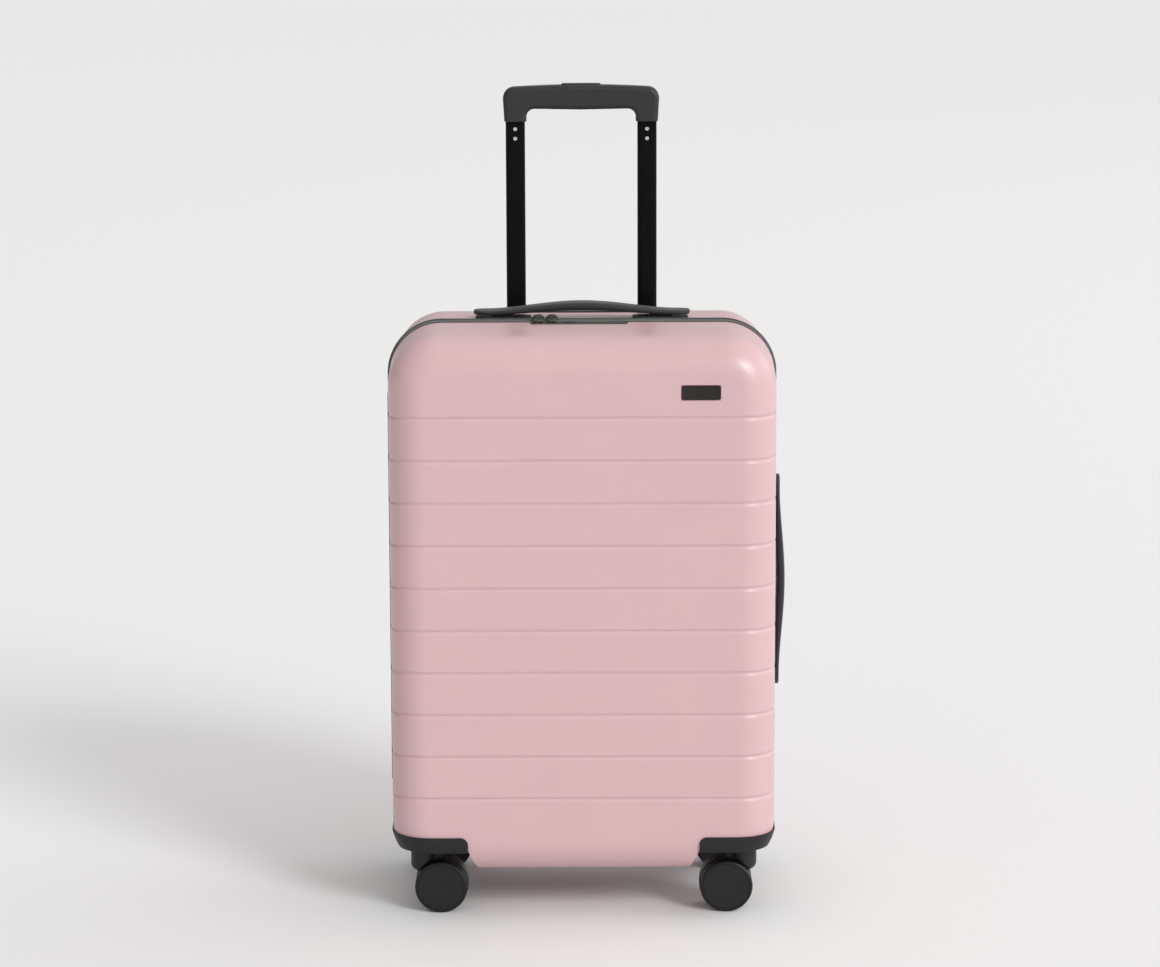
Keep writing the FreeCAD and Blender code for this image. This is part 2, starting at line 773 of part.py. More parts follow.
# ---------------------------------------------------------------- zip
def hinge_window():
    return box(-big, 0, -big, big, hinge_low, hinge_high)


def teeth():
    return band(teeth_low, teeth_high, teeth_inner, teeth_outer).cut(hinge_window())


def tape():
    return band(tape_lift, tape_lift + tape_thickness, tape_gap, band_reach)


def hinge_tape():
    x = -(case_width / 2 + tape_lift + 0.8)
    return box(x, x + 0.7, -hinge_tape_half, hinge_tape_half, hinge_low + 4, hinge_high - 4)


def slider_levels():
    low = case_top + teeth_high + slider_clearance
    return low, low + slider_thickness


def slider(x):
    """A zip slider: a top plate with two lugs, a post between the teeth and a lower plate."""
    low, high = slider_levels()
    pin_y, pin_z = pull_axis()
    plate = rounded_bar(slider_length, slider_width, 2.2, (x, 0, low), (1, 0, 0), (0, 1, 0),
                        (0, 0, high - low))
    post = box(x - 2.5, x + 2.5, -0.3, 0.3, case_top - 1.4, low + 0.5)
    lower = box(x - 4.5, x + 4.5, -1.3, 1.3, case_top - 1.6, case_top + teeth_low - 0.4)
    lugs = []
    for s in (-1, 1):
        block = box(x + s * 3.2 - 0.6, x + s * 3.2 + 0.6, pin_y - 1.05, pin_y + 1.05, high - 0.4, pin_z)
        lugs += [block, cylinder(1.05, (x + s * 3.2 - 0.6, pin_y, pin_z), (1, 0, 0), 1.2)]
    pin = cylinder(pull_pin_radius, (x - 3.6, pin_y, pin_z), (1, 0, 0), 7.2)
    return fuse([plate, post, lower, pin] + lugs)


def pull_axis():
    low, high = slider_levels()
    return -2.6, high + pull_eye_radius + 0.2


def pull(x):
    """A flat tab with an eye at the slider's pin and a square hole in its tip."""
    low, high = slider_levels()
    pin_y, pin_z = pull_axis()
    tab_low = high - 1.9
    plate_edge = -(slider_width / 2 + 0.3)
    eye = cylinder(pull_eye_radius, (x - 2.2, pin_y, pin_z), (1, 0, 0), 4.4)
    arm = box(x - 2.2, x + 2.2, plate_edge - 1.4, pin_y, high + 0.3, pin_z + 0.9)
    crank = box(x - 2.2, x + 2.2, plate_edge - 1.4, plate_edge, tab_low, pin_z + 0.9)
    length = pull_length + plate_edge
    tab = rounded_bar(pull_width, length, 2.4, (x, plate_edge - length / 2, tab_low),
                      (1, 0, 0), (0, 1, 0), (0, 0, pull_thickness))
    tab = tab.cut(box(x - 1.7, x + 1.7, -pull_length + 1.8, -pull_length + 6.8, -big, big))
    bore = cylinder(pull_pin_radius + 0.08, (x - 5, pin_y, pin_z), (1, 0, 0), 10)
    return fuse([eye, arm, crank, tab]).cut(bore)


# ---------------------------------------------------------------- lock
def lock_plan(grow, low, high):
    width = lock_right - lock_left + 2 * grow
    depth = lock_front - lock_back + 2 * grow
    centre = ((lock_left + lock_right) / 2, -(lock_front + lock_back) / 2, low)
    return rounded_bar(width, depth, 2.0 + max(grow, -1), centre, (1, 0, 0), (0, 1, 0), (0, 0, high - low))


def lock_top():
    """Height of the lock's flat top."""
    return case_top - lock_back * draft + lock_proud


def dial_axis():
    return -(lock_front + lock_back) / 2, lock_top() + dial_proud - dial_radius


def dial_slot(x):
    y, z = dial_axis()
    return cylinder(dial_radius + 0.3, (x - dial_width / 2 - 0.3, y, z), (1, 0, 0), dial_width + 0.6)


def dial(x):
    y, z = dial_axis()
    wheel_solid = cylinder(dial_radius, (x - dial_width / 2, y, z), (1, 0, 0), dial_width)
    notches = []
    for k in range(10):
        a = math.radians(36 * k + 18)
        centre = (x - dial_width, y + (dial_radius + 0.25) * math.sin(a), z + (dial_radius + 0.25) * math.cos(a))
        notches.append(cylinder(0.75, centre, (1, 0, 0), 2 * dial_width))
    bore = cylinder(dial_axle_radius + running_clearance, (x - dial_width, y, z), (1, 0, 0), 2 * dial_width)
    return wheel_solid.cut(notches + [bore])


def key_cylinder():
    top = lock_top() - 0.05
    y = dial_axis()[0]
    solid = cylinder(key_radius, (key_x, y, top - 8.0), (0, 0, 1), 8.0)
    return solid.cut(box(key_x - 0.5, key_x + 0.5, y - 1.8, y + 1.8, top - 5.0, top + 1))


def lock_button_solid(grow, travel):
    top = lock_top()
    y = dial_axis()[0]
    x0 = lock_button_x - lock_button_length / 2 - grow
    x1 = lock_button_x + lock_button_length / 2 + grow + travel
    return box(x0, x1, y - 2.4 - grow, y + 2.4 + grow, top - 2.4 - grow, top + (big if grow else 0.5))


def lock_cuts():
    """What the dials, the key cylinder and the button take out of the lock's pieces."""
    y = dial_axis()[0]
    cuts = [dial_slot(x) for x in dial_x]
    cuts.append(lock_button_solid(0.25, lock_button_travel))
    cuts.append(cylinder(key_radius + running_clearance, (key_x, y, lock_top() - 8.1), (0, 0, 1), 20))
    return cuts


def lock_seat():
    """Height of the underside of the shell's wall at the front of the lock, less a small gap."""
    return case_top - lock_front * draft - shell_wall - 0.2


def lock_plate():
    """The flat top of the lock, with a neck that fills the opening in the shell."""
    lip = lock_plan(0, case_top - 10, lock_top()).cut(tub(0))
    neck = lock_plan(-lock_lip, lock_seat(), lock_top())
    return lip.fuse(neck).removeSplitter().cut(lock_cuts() + [dial_axle(0.1)])


def dial_axle(grow):
    y, z = dial_axis()
    start = dial_x[0] - 5.4 - grow
    return cylinder(dial_axle_radius + grow, (start, y, z), (1, 0, 0), dial_x[2] + 5.4 + grow - start)


def lock_body():
    """The lock's body under the shell's wall, hollow round the dials, with their axle."""
    high = lock_seat()
    low = high - lock_body_depth
    y, z = dial_axis()
    block = lock_plan(lock_body_side, low, high)
    hollow = box(dial_x[0] - 4.6, dial_x[2] + 4.6, y - dial_radius - 0.6, y + dial_radius + 0.6,
                 z - dial_radius - 0.6, high + 1)
    return block.cut([hollow] + lock_cuts()[3:]).fuse(dial_axle(0)).removeSplitter()


def lock_opening():
    return lock_plan(-lock_lip + 0.15, case_top - 20, case_top + 20)


def badge(grow, depth_in, proud):
    return rounded_bar(badge_width + 2 * grow, badge_height + 2 * grow, 2.0 + grow,
                       (badge_x, -(half_depth + proud), badge_z), (1, 0, 0), (0, 0, 1),
                       (0, depth_in + proud, 0))


# ---------------------------------------------------------------- inside
def lining_form(inset, well_grow):
    form = tub(-inset)
    return form.cut([well(well_grow, -1), well(well_grow, 1)])


def boss_cover():
    """How far a lining stands clear of the wells, so that the stems fit under it."""
    return boss_top + 3.0 - well_ceiling


def front_lining():
    inset = shell_wall + lining_gap
    outer = lining_form(inset, boss_cover()).cut(lock_room(0))
    inner = lining_form(inset + lining_thickness, boss_cover() + lining_thickness).cut(lock_room(lining_thickness))
    return outer.cut([inner, behind_seam(rim_setback + 4.0)])


def lock_room(grow):
    low = lock_seat() - lock_body_depth - 1.0 - grow
    return lock_plan(lock_body_side + 0.6 + grow, low, case_top + 50)


def channels(grow):
    """Blocks round the outer tubes, the cup and the handle sleeves, in the rear place."""
    width, depth, corner = tube_section(2, False)
    low_y = tube_y - depth / 2 - 4.0 - grow
    blocks = [box(s * tube_x - width / 2 - 4.0 - grow, s * tube_x + width / 2 + 4.0 + grow,
                  low_y, big, -big, big) for s in (-1, 1)]
    reach = cup_width / 2 + 6 + grow
    blocks.append(box(-reach, reach, tube_y - cup_depth / 2 - 6 - grow, big, cup_floor - 3.0 - grow, big))
    blocks.append(box(-reach, reach, low_y, big, -big, outer_tube_foot + foot_grip + 3.0 + grow))
    for place in (to_top, to_side):
        for s in (-1, 1):
            room = rounded_bar(leg_length + 9 + 2 * grow, leg_width + 9 + 2 * grow, 4.0 + grow,
                               (s * mount_offset, 0, leg_foot() - 1.0 - grow), (1, 0, 0), (0, 1, 0), (0, 0, 40))
            blocks.append(place(room))
    return blocks


def rear_lining():
    inset = shell_wall + lining_gap
    outer = mirror_y(lining_form(inset, boss_cover())).cut(channels(0))
    inner = mirror_y(lining_form(inset + lining_thickness, boss_cover() + lining_thickness))
    inner = inner.cut(channels(lining_thickness))
    return outer.cut([inner, mirror_y(behind_seam(rim_setback + 4.0))])


def lid_pocket():
    y = -(half_depth - shell_wall - lining_gap - lining_thickness - 0.3)
    width = case_width - 2 * pocket_side_margin
    height = case_height - 2 * pocket_end_margin
    return rounded_bar(width, height, 18.0, (0, y, case_middle), (1, 0, 0), (0, 0, 1), (0, 2.2, 0))


def packing_straps():
    """Webbing from each side of the lining to the buckle in the middle."""
    anchor_y = strap_y + 30.0
    inner_x = case_width / 2 - anchor_y * draft - shell_wall - lining_gap - lining_thickness - 0.4
    solids = []
    for z in strap_heights:
        for s in (-1, 1):
            x0 = s * (buckle_length / 2 - 6.0)
            x1 = s * inner_x
            run = box(min(x0, x1), max(x0, x1), strap_y, strap_y + strap_thickness,
                      z - strap_width / 2, z + strap_width / 2)
            anchor = box(min(s * (inner_x - strap_thickness), x1), max(s * (inner_x - strap_thickness), x1),
                         strap_y, anchor_y, z - strap_width / 2, z + strap_width / 2)
            solids.append(run.fuse(anchor).removeSplitter())
    return solids


def buckles():
    solids = []
    for z in strap_heights:
        block = rounded_bar(buckle_length, buckle_height, 6.0,
                            (0, strap_y - (buckle_thickness - strap_thickness) / 2, z),
                            (1, 0, 0), (0, 0, 1), (0, buckle_thickness, 0))
        slots = []
        for s in (-1, 1):
            x0 = s * (buckle_length / 2 - 6.2)
            x1 = s * (buckle_length / 2 + 5.0)
            slots.append(box(min(x0, x1), max(x0, x1), strap_y - 0.1, strap_y + strap_thickness + 0.1,
                             z - strap_width / 2 - 0.2, z + strap_width / 2 + 0.2))
        solids.append(block.cut(slots))
    return solids


# ---------------------------------------------------------------- assembly
def build():
    nodes = {}
    plain_shell = shell()
    guards = {s: guard(s) for s in (-1, 1)}
    openings = guard_openings(-1) + guard_openings(1)
    sleeve_cuts = [place(s) for place in (to_top, to_side) for s in sleeves(0.15)]

    nodes["front_shell"] = plain_shell.cut(openings + [lock_opening(), badge(badge_margin, badge_pocket, 5.0)])
    rear = mirror_y(plain_shell.cut(openings))
    nodes["rear_shell"] = rear.cut(sleeve_cuts + [cup_opening()])
    nodes["front_lining"] = front_lining()
    nodes["rear_lining"] = rear_lining()
    nodes["front_zip_tape"] = tape()
    nodes["rear_zip_tape"] = mirror_y(nodes["front_zip_tape"])
    nodes["front_zip_teeth"] = teeth()
    nodes["rear_zip_teeth"] = mirror_y(nodes["front_zip_teeth"])
    nodes["hinge_tape"] = hinge_tape()

    nodes["trolley_cup"] = cup()
    nodes["outer_tubes"] = Part.makeCompound([tube(s, 2, outer_tube_foot, cup_floor) for s in (-1, 1)])
    nodes["middle_tubes"] = Part.makeCompound([tube(s, 1, middle_tube_foot(), cup_floor + 2.0) for s in (-1, 1)])
    nodes["upper_tubes"] = Part.makeCompound(upper_tubes())
    nodes["tube_foot"] = tube_foot()
    nodes["grip"] = grip()
    nodes["grip_button"] = grip_button()
    nodes["release_linkage"] = release_linkage()
    nodes["grip_rivets"] = Part.makeCompound(rivets())

    nodes["top_handle"] = to_top(handle_strap(top_arch))
    nodes["side_handle"] = to_side(handle_strap(side_arch))
    nodes["top_handle_mounts"] = Part.makeCompound(mounts(to_top))
    nodes["side_handle_mounts"] = Part.makeCompound(mounts(to_side))

    screws = guard_screws(-1) + guard_screws(1)
    nodes["front_fasteners"] = Part.makeCompound(screws)
    nodes["rear_fasteners"] = mirror_y(nodes["front_fasteners"])

    casters = {"yoke": yoke(), "steel": Part.makeCompound(caster_steel()),
               "wheel_a": wheel(-1), "wheel_b": wheel(1)}
    for depth_word, to_depth in (("front", lambda s: s), ("rear", mirror_y)):
        for side_word, to_side_of_case, side in (("left", mirror_x, -1), ("right", lambda s: s, 1)):
            where = depth_word + "_" + side_word
            nodes["corner_guard_" + where] = to_depth(guards[side])
            for piece, solid in casters.items():
                nodes["caster_" + where + "_" + piece] = to_depth(to_side_of_case(solid))

    nodes["lock_plate"] = lock_plate()
    nodes["lock_body"] = lock_body()
    nodes["key_cylinder"] = key_cylinder()
    nodes["lock_button"] = lock_button_solid(0, 0)
    for k, x in enumerate(dial_x):
        nodes["lock_dial_" + str(k + 1)] = dial(x)
    for word, x in zip(("left", "right"), slider_x):
        nodes["zip_slider_" + word] = slider(x)
        nodes["zip_pull_" + word] = pull(x)

    nodes["badge"] = badge(0, badge_pocket - 0.1, badge_proud - badge_pocket)
    nodes["lid_pocket"] = lid_pocket()
    nodes["packing_straps"] = Part.makeCompound(packing_straps())
    nodes["strap_buckles"] = Part.makeCompound(buckles())
    return nodes


def main():
    os.makedirs("parts", exist_ok=True)
    for name in os.listdir("parts"):
        if name.endswith(".step"):
            os.remove(os.path.join("parts", name))
    for name, shape in build().items():
        solids = shape.Solids
        state = "ok" if shape.isValid() and solids and all(s.Volume > 0 for s in solids) else "BAD"
        print(name, "solids", len(solids), "volume", round(shape.Volume / 1000, 2), "cm3", state)
        kept = solids[0] if len(solids) == 1 else Part.makeCompound(solids)
        kept.exportStep(os.path.join("parts", name + ".step"))


main()
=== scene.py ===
# %% [markdown]
# # A hard shell suitcase on wheels
# The case is two tubs of moulded polycarbonate, zipped together round the middle, that stand on
# four twin-wheel casters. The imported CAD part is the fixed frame: it carries the moving bodies and
# the rigid fittings. The pieces whose look depends on soft, continuous curves are built again here
# as numpy surfaces and ride on the same bodies.

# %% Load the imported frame
import json
import math

import bmesh
import bpy
import numpy as np
from mathutils import Matrix, Vector

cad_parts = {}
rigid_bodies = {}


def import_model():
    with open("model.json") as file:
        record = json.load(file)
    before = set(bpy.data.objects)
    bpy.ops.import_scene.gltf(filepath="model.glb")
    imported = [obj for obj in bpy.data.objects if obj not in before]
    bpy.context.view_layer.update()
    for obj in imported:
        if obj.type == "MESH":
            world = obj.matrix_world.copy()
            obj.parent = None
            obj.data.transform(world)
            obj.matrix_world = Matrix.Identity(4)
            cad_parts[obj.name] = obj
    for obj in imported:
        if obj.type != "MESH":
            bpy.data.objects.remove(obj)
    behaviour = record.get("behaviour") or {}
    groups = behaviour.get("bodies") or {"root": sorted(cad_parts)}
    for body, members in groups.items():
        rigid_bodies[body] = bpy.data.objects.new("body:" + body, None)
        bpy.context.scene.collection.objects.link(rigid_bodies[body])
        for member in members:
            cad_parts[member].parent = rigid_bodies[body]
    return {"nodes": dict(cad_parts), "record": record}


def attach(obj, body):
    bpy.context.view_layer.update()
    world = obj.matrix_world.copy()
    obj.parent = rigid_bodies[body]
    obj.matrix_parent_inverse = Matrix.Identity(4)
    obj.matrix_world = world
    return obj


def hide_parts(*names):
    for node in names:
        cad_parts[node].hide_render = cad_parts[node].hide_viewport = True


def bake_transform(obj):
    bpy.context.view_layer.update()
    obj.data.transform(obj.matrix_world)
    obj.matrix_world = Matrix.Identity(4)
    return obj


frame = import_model()
nodes = frame["nodes"]
body_of = {n: b for b, held in frame["record"]["behaviour"]["bodies"].items() for n in held}
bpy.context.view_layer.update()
for left_over in [o for o in bpy.data.objects if o.name in ("Cube", "Light", "Camera")]:
    bpy.data.objects.remove(left_over)

# %% [markdown]
# ## Real sizes
# Every curve below is written in millimetres, because that is how the case is drawn: x to the
# right, z up, and depth measured from the zip seam towards the flat face of either half. These
# sizes are the ones the part itself was made with, so new surfaces meet the old ones.

# %% Sizes of the case
WIDTH, HEIGHT, BOTTOM, DEPTH = 366.0, 514.0, 42.0, 119.0
CORNER, EDGE, LEAN = 50.0, 34.0, math.radians(1.5)
WALL, RIM = 2.6, 2.5
TOP = BOTTOM + HEIGHT
MIDDLE = (BOTTOM + TOP) / 2
GROOVE_COUNT, GROOVE_MARGIN, GROOVE_PITCH = 10, 76.0, 40.2
GROOVES = TOP - GROOVE_MARGIN - GROOVE_PITCH * np.arange(GROOVE_COUNT)
WHEEL_X, CASTER_Y, WHEEL_R, WHEEL_WIDE, WHEEL_GAP = 135.6, 73.0, 25.0, 11.5, 14.0
# Wheel wells: room above a wheel, from its axis to the inner side, from the face inwards, radius of
# the inner corner, and how steeply the inner side leans.
WELL_HEADROOM, WELL_INBOARD, WELL_REACH, WELL_RADIUS = 18.0, 26.6, 92.0, 15.0
WELL_SLOPE = 11.0 / 26.0
TUBE_X, TUBE_Y, CUP_FLOOR = 63.6, 92.0, 526.0
HANDLE_Y, LEG_X = 28.0, 75.5
BADGE_X, BADGE_Z = WIDTH / 2 - 73.4, TOP - 52.0
print("grooves at heights", GROOVES.round(1))

# %% [markdown]
# ## From arrays to meshes
# A surface is a grid of points worked out as whole arrays. One helper numbers the four-sided faces
# of a grid, another puts points and faces into a mesh in metres, and a third carries a section
# along a line. Edges that turn by more than a set angle are marked sharp, as on a moulding, and the
# rest shade smoothly.


# %% Grid faces and the mesh helper
def grid_faces(rows, cols, wrap_rows=False, wrap_cols=False, start=0):
    """Faces (i, j), (i, j+1), (i+1, j+1), (i+1, j) of a grid numbered row by row."""
    r = np.arange(rows if wrap_rows else rows - 1)[:, None]
    c = np.arange(cols if wrap_cols else cols - 1)[None, :]
    r2, c2 = (r + 1) % rows, (c + 1) % cols
    quads = np.stack([r * cols + c, r * cols + c2, r2 * cols + c2, r2 * cols + c], -1)
    return (quads.reshape(-1, 4) + start).tolist()


def mesh_object(name, points, faces, sharp=35.0, uv=None, turn_out=False):
    """A mesh object from points in millimetres, shaded smoothly up to the angle sharp. uv holds a
    pair of metres for each corner of the first faces, and turn_out makes closed skins face out."""
    mesh = bpy.data.meshes.new(name)
    mesh.from_pydata((np.asarray(points, float) / 1000).tolist(), [], faces)
    if uv is not None:
        every = np.zeros((len(mesh.loops), 2), np.float32)
        every[:len(uv)] = uv
        mesh.uv_layers.new(name="cloth").data.foreach_set("uv", every.ravel())
    if turn_out:
        work = bmesh.new()
        work.from_mesh(mesh)
        bmesh.ops.recalc_face_normals(work, faces=work.faces)
        work.to_mesh(mesh)
        work.free()
    mesh.shade_smooth()
    mesh.set_sharp_from_angle(angle=math.radians(sharp))
    made = bpy.data.objects.new(name, mesh)
    bpy.context.scene.collection.objects.link(made)
    return made


def settle(made, sharp=35.0):
    """Applies the modifiers of a piece and shades the result."""
    graph = bpy.context.evaluated_depsgraph_get()
    mesh = bpy.data.meshes.new_from_object(made.evaluated_get(graph))
    made.modifiers.clear()
    made.data = mesh
    mesh.shade_smooth()
    mesh.set_sharp_from_angle(angle=math.radians(sharp))
    return made


def swept(line, side, up, section, loop=False):
    """A section (across, height) carried along a line: line + across * side + height * up. The
    section may change from row to row. Its ends are closed, or it runs round into itself."""
    section = np.broadcast_to(section, (len(line), *np.shape(section)[-2:]))
    p = line[:, None] + section[..., :1] * side[:, None] + section[..., 1:] * up[:, None]
    rows, cols = p.shape[:2]
    faces = grid_faces(rows, cols, wrap_rows=loop, wrap_cols=True)
    if not loop:
        faces += [list(range(cols))[::-1], list(range((rows - 1) * cols, rows * cols))]
    return p.reshape(-1, 3), faces


def grid_uv(u, v):
    """For each face corner of a grid, in the order of grid_faces, its pair (u, v)."""
    a = np.stack(np.meshgrid(np.asarray(u) / 1000, np.asarray(v) / 1000, indexing="ij"), -1)
    return np.stack([a[:-1, :-1], a[:-1, 1:], a[1:, 1:], a[1:, :-1]], 2).reshape(-1, 2)


def circle(count):
    """Cosines and sines of equal steps once round."""
    a = np.linspace(0, 2 * math.pi, count, endpoint=False)
    return np.cos(a), np.sin(a)


def walk(points):
    """Distance walked along a line of points, from 0 at the first."""
    return np.concatenate([[0], np.cumsum(np.hypot(*np.diff(points, axis=0).T))])


def cut(made, tools):
    """Exact boolean modifiers that take each tool away from a piece."""
    for tool in tools:
        step = made.modifiers.new("cut", "BOOLEAN")
        step.operation, step.solver, step.object = "DIFFERENCE", "EXACT", tool


def stands_for(piece, node):
    """The piece rides on the body of a CAD node and is shown in its place."""
    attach(piece, body_of[node])
    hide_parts(node)


def join(parts):
    """One list of points and one of faces from several (points, faces) pairs."""
    points, faces, start = [], [], 0
    for p, f in parts:
        points.append(np.asarray(p, float))
        faces += [[i + start for i in face] for face in f]
        start += len(p)
    return np.concatenate(points), faces


# %% [markdown]
# ## Materials
# Colours are picked as sRGB hex values and turned to linear light by one function. One helper adds
# a shader node with its settings and links. On top of it, one recipe serves the moulded and
# extruded finishes: a base colour with a faint mottle, a roughness that wanders a little, and a
# grain of a stated real size. The grain is what keeps black plastic from looking like paint.


# %% Colour and node helpers
def srgb(text):
    """Linear colour of an sRGB hex value: ((c + 0.055) / 1.055) ** 2.4 above the toe."""
    c = np.array([int(text[i:i + 2], 16) / 255 for i in (0, 2, 4)])
    linear = np.where(c <= 0.04045, c / 12.92, ((c + 0.055) / 1.055) ** 2.4)
    return (*linear.tolist(), 1.0)


def add(tree, kind, inputs=None, **settings):
    """Adds a node; inputs maps a socket to a number or to another node's output."""
    node = tree.nodes.new("ShaderNode" + kind)
    for key, value in settings.items():
        setattr(node, key, value)
    for key, value in (inputs or {}).items():
        if isinstance(value, bpy.types.NodeSocket):
            tree.links.new(value, node.inputs[key])
        else:
            node.inputs[key].default_value = value
    return node


def plain(name, sockets):
    """A new material, its nodes and its shader, with the given sockets of the shader set."""
    material = bpy.data.materials.new(name)
    material.use_nodes = True
    shader = material.node_tree.nodes["Principled BSDF"]
    for key, value in sockets.items():
        shader.inputs[key.replace("_", " ")].default_value = value
    return material, material.node_tree, shader


def finish(name, colour, roughness, grain=0.4, depth=0.02, mottle=0.06, wander=0.06,
           edge=0.0, **sockets):
    """A moulded or extruded finish. grain, depth and edge are in millimetres."""
    material, tree, shader = plain(name, sockets)
    place = add(tree, "TexCoord").outputs["Object"]
    cloud = add(tree, "TexNoise", {"Vector": place, "Scale": 22.0, "Detail": 3.0})
    tint = add(tree, "MapRange", {"Value": cloud.outputs["Fac"], "From Min": 0.3, "From Max": 0.7,
                                  "To Min": 1 - mottle, "To Max": 1 + mottle})
    base = add(tree, "VectorMath", {0: srgb(colour)[:3], "Scale": tint.outputs[0]},
               operation="SCALE")
    tree.links.new(base.outputs[0], shader.inputs["Base Color"])
    worn = add(tree, "MapRange", {"Value": cloud.outputs["Fac"], "From Min": 0.3, "From Max": 0.7,
                                  "To Min": max(roughness - wander, 0.02),
                                  "To Max": roughness + wander})
    tree.links.new(worn.outputs[0], shader.inputs["Roughness"])
    fine = add(tree, "TexNoise", {"Vector": place, "Scale": 1000.0 / grain, "Detail": 2.0})
    bump = add(tree, "Bump", {"Height": fine.outputs["Fac"], "Strength": 1.0,
                              "Distance": depth / 1000})
    if edge:
        soft = add(tree, "Bevel", {"Radius": edge / 1000}, samples=6)
        tree.links.new(soft.outputs[0], bump.inputs["Normal"])
    tree.links.new(bump.outputs[0], shader.inputs["Normal"])
    return material


def dress(material, slot, *pieces):
    """Gives pieces or CAD nodes a material; slot is not used."""
    for piece in pieces:
        piece = nodes[piece] if isinstance(piece, str) else piece
        piece.data.materials.clear()
        piece.data.materials.append(material)


# %% [markdown]
# ## The finishes of the hard parts
# The shells are polycarbonate moulded in a fine satin tool, so they give a broad soft highlight and
# no mirror image. Guards, grip and yokes are glass-filled nylon and polypropylene with a spark
# texture of about half a millimetre. The tubes are extruded aluminium, anodised black, with faint
# lines along their length that are too fine to resolve and are left to the roughness.

# %% Make the hard finishes
satin_polycarbonate = finish("satin_moulded_polycarbonate", "CCA9AC", 0.36, grain=0.9,
                             depth=0.004, mottle=0.012, wander=0.03, IOR=1.585, Coat_Weight=0.04,
                             Coat_Roughness=0.3)
grained_polypropylene = finish("grained_polypropylene", "1B1B1A", 0.5, grain=0.7, depth=0.05,
                               edge=0.5, IOR=1.49, Specular_IOR_Level=0.35)
spark_nylon = finish("spark_textured_nylon", "212122", 0.48, grain=0.6, depth=0.03, edge=0.6,
                     IOR=1.53, Specular_IOR_Level=0.4)
yoke_nylon = finish("glass_filled_nylon", "1A1A1B", 0.46, grain=0.8, depth=0.02, edge=0.6,
                    IOR=1.53, Specular_IOR_Level=0.35)
black_anodised = finish("black_anodised_aluminium", "0F0F10", 0.24, grain=0.3, depth=0.003,
                        mottle=0.04, Specular_IOR_Level=0.05)
mill_aluminium = finish("mill_finished_aluminium", "8E9092", 0.38, grain=0.3, depth=0.006,
                        mottle=0.05, Metallic=1.0)
zinc_steel = finish("zinc_plated_steel", "9A9C9E", 0.3, grain=0.5, depth=0.005, edge=0.2,
                    Metallic=1.0)
polished_steel = finish("polished_steel", "C9CACB", 0.14, grain=0.5, depth=0.002, wander=0.04,
                        Metallic=1.0)
gunmetal_zinc = finish("gunmetal_zinc_casting", "5E625A", 0.3, grain=0.4, depth=0.006, edge=0.25,
                       Metallic=0.85)
badge_enamel = finish("dark_enamelled_plate", "231C1A", 0.42, grain=0.35, depth=0.02, edge=0.3,
                      Specular_IOR_Level=0.3)
print("hard finishes made:", len(bpy.data.materials))

# %% [markdown]
# ## The shells
# Seen from the front the case is a rounded rectangle, and from the side each half is a straight
# wall that leans in by a degree and a half and then rolls over into a flat face. So a point needs
# two parameters: where it is along the outline, and where it is along that side profile. Ten
# grooves are pressed in all the way round at fixed heights, so the outline's points are packed
# closely at those heights. The flat face is filled with rows that start and end on the outline.


# %% Outline, profile and groove
def heights(low, high, step=11.0, reach=3.3, rows=15, clear=5.0):
    """Heights from low to high: rows of them within reach of each groove, and steps elsewhere."""
    near = (GROOVES[:, None] + np.linspace(-reach, reach, rows)[None, :]).ravel()
    wide = np.linspace(low, high, int((high - low) / step) + 1)
    wide = wide[np.abs(wide[:, None] - GROOVES[None, :]).min(1) > clear]
    every = np.unique(np.concatenate([near, wide, [low, high]]))
    return every[(every >= low) & (every <= high)]


def outline_loop(side_z, across=25, turn=14):
    """Points of the outline at the seam, anticlockwise from the bottom left, and directions out.
    Straight sides hold the given heights and the corners are quarter circles."""
    a, low, high = WIDTH / 2 - CORNER, BOTTOM + CORNER, TOP - CORNER
    x = np.linspace(-a, a, across)
    q = np.linspace(0, math.pi / 2, turn + 2)[1:-1]
    one = np.ones_like

    def arc(cx, cz, first):
        d = np.stack([np.cos(first + q), np.sin(first + q)], 1)
        return np.array([cx, cz]) + CORNER * d, d

    def line(px, pz, direction):
        p = np.stack([px, pz], 1)
        return p, np.broadcast_to(np.array(direction, float), p.shape)

    runs = [
        line(x, one(x) * BOTTOM, (0, -1)), arc(a, low, -math.pi / 2),
        line(one(side_z) * WIDTH / 2, side_z, (1, 0)), arc(a, high, 0),
        line(x[::-1], one(x) * TOP, (0, 1)), arc(-a, high, math.pi / 2),
        line(-one(side_z) * WIDTH / 2, side_z[::-1], (-1, 0)), arc(-a, low, math.pi),
    ]
    return np.concatenate([r[0] for r in runs]), np.concatenate([r[1] for r in runs])


def side_profile(grow, near, steps=7, arc_steps=14):
    """Inset, depth and slope along a side: a line that leans by LEAN, then a quarter turn of radius
    EDGE into the flat face. near is the depth where it starts, and grow moves it outwards."""
    radius, centre = EDGE + grow, DEPTH - EDGE
    inset = centre * math.tan(LEAN) + EDGE / math.cos(LEAN)
    turn = np.linspace(LEAN, math.pi / 2, arc_steps)
    arc = np.stack([inset - radius * np.cos(turn), centre + radius * np.sin(turn), turn], 1)
    start = near * math.tan(LEAN) - grow / math.cos(LEAN)
    t = np.linspace(0, 1, steps)[:-1, None]
    line = (1 - t) * np.array([start, near, LEAN]) + t * arc[0]
    return np.concatenate([line, arc])


def groove_depth(z, deep):
    """A pressed groove: deep * cos squared, 5.8 mm wide, at each of the ten heights."""
    half_wide = 2.9
    away = np.abs(np.asarray(z)[..., None] - GROOVES).min(-1) / half_wide
    return deep * np.cos(np.clip(away, 0, 1) * math.pi / 2) ** 2


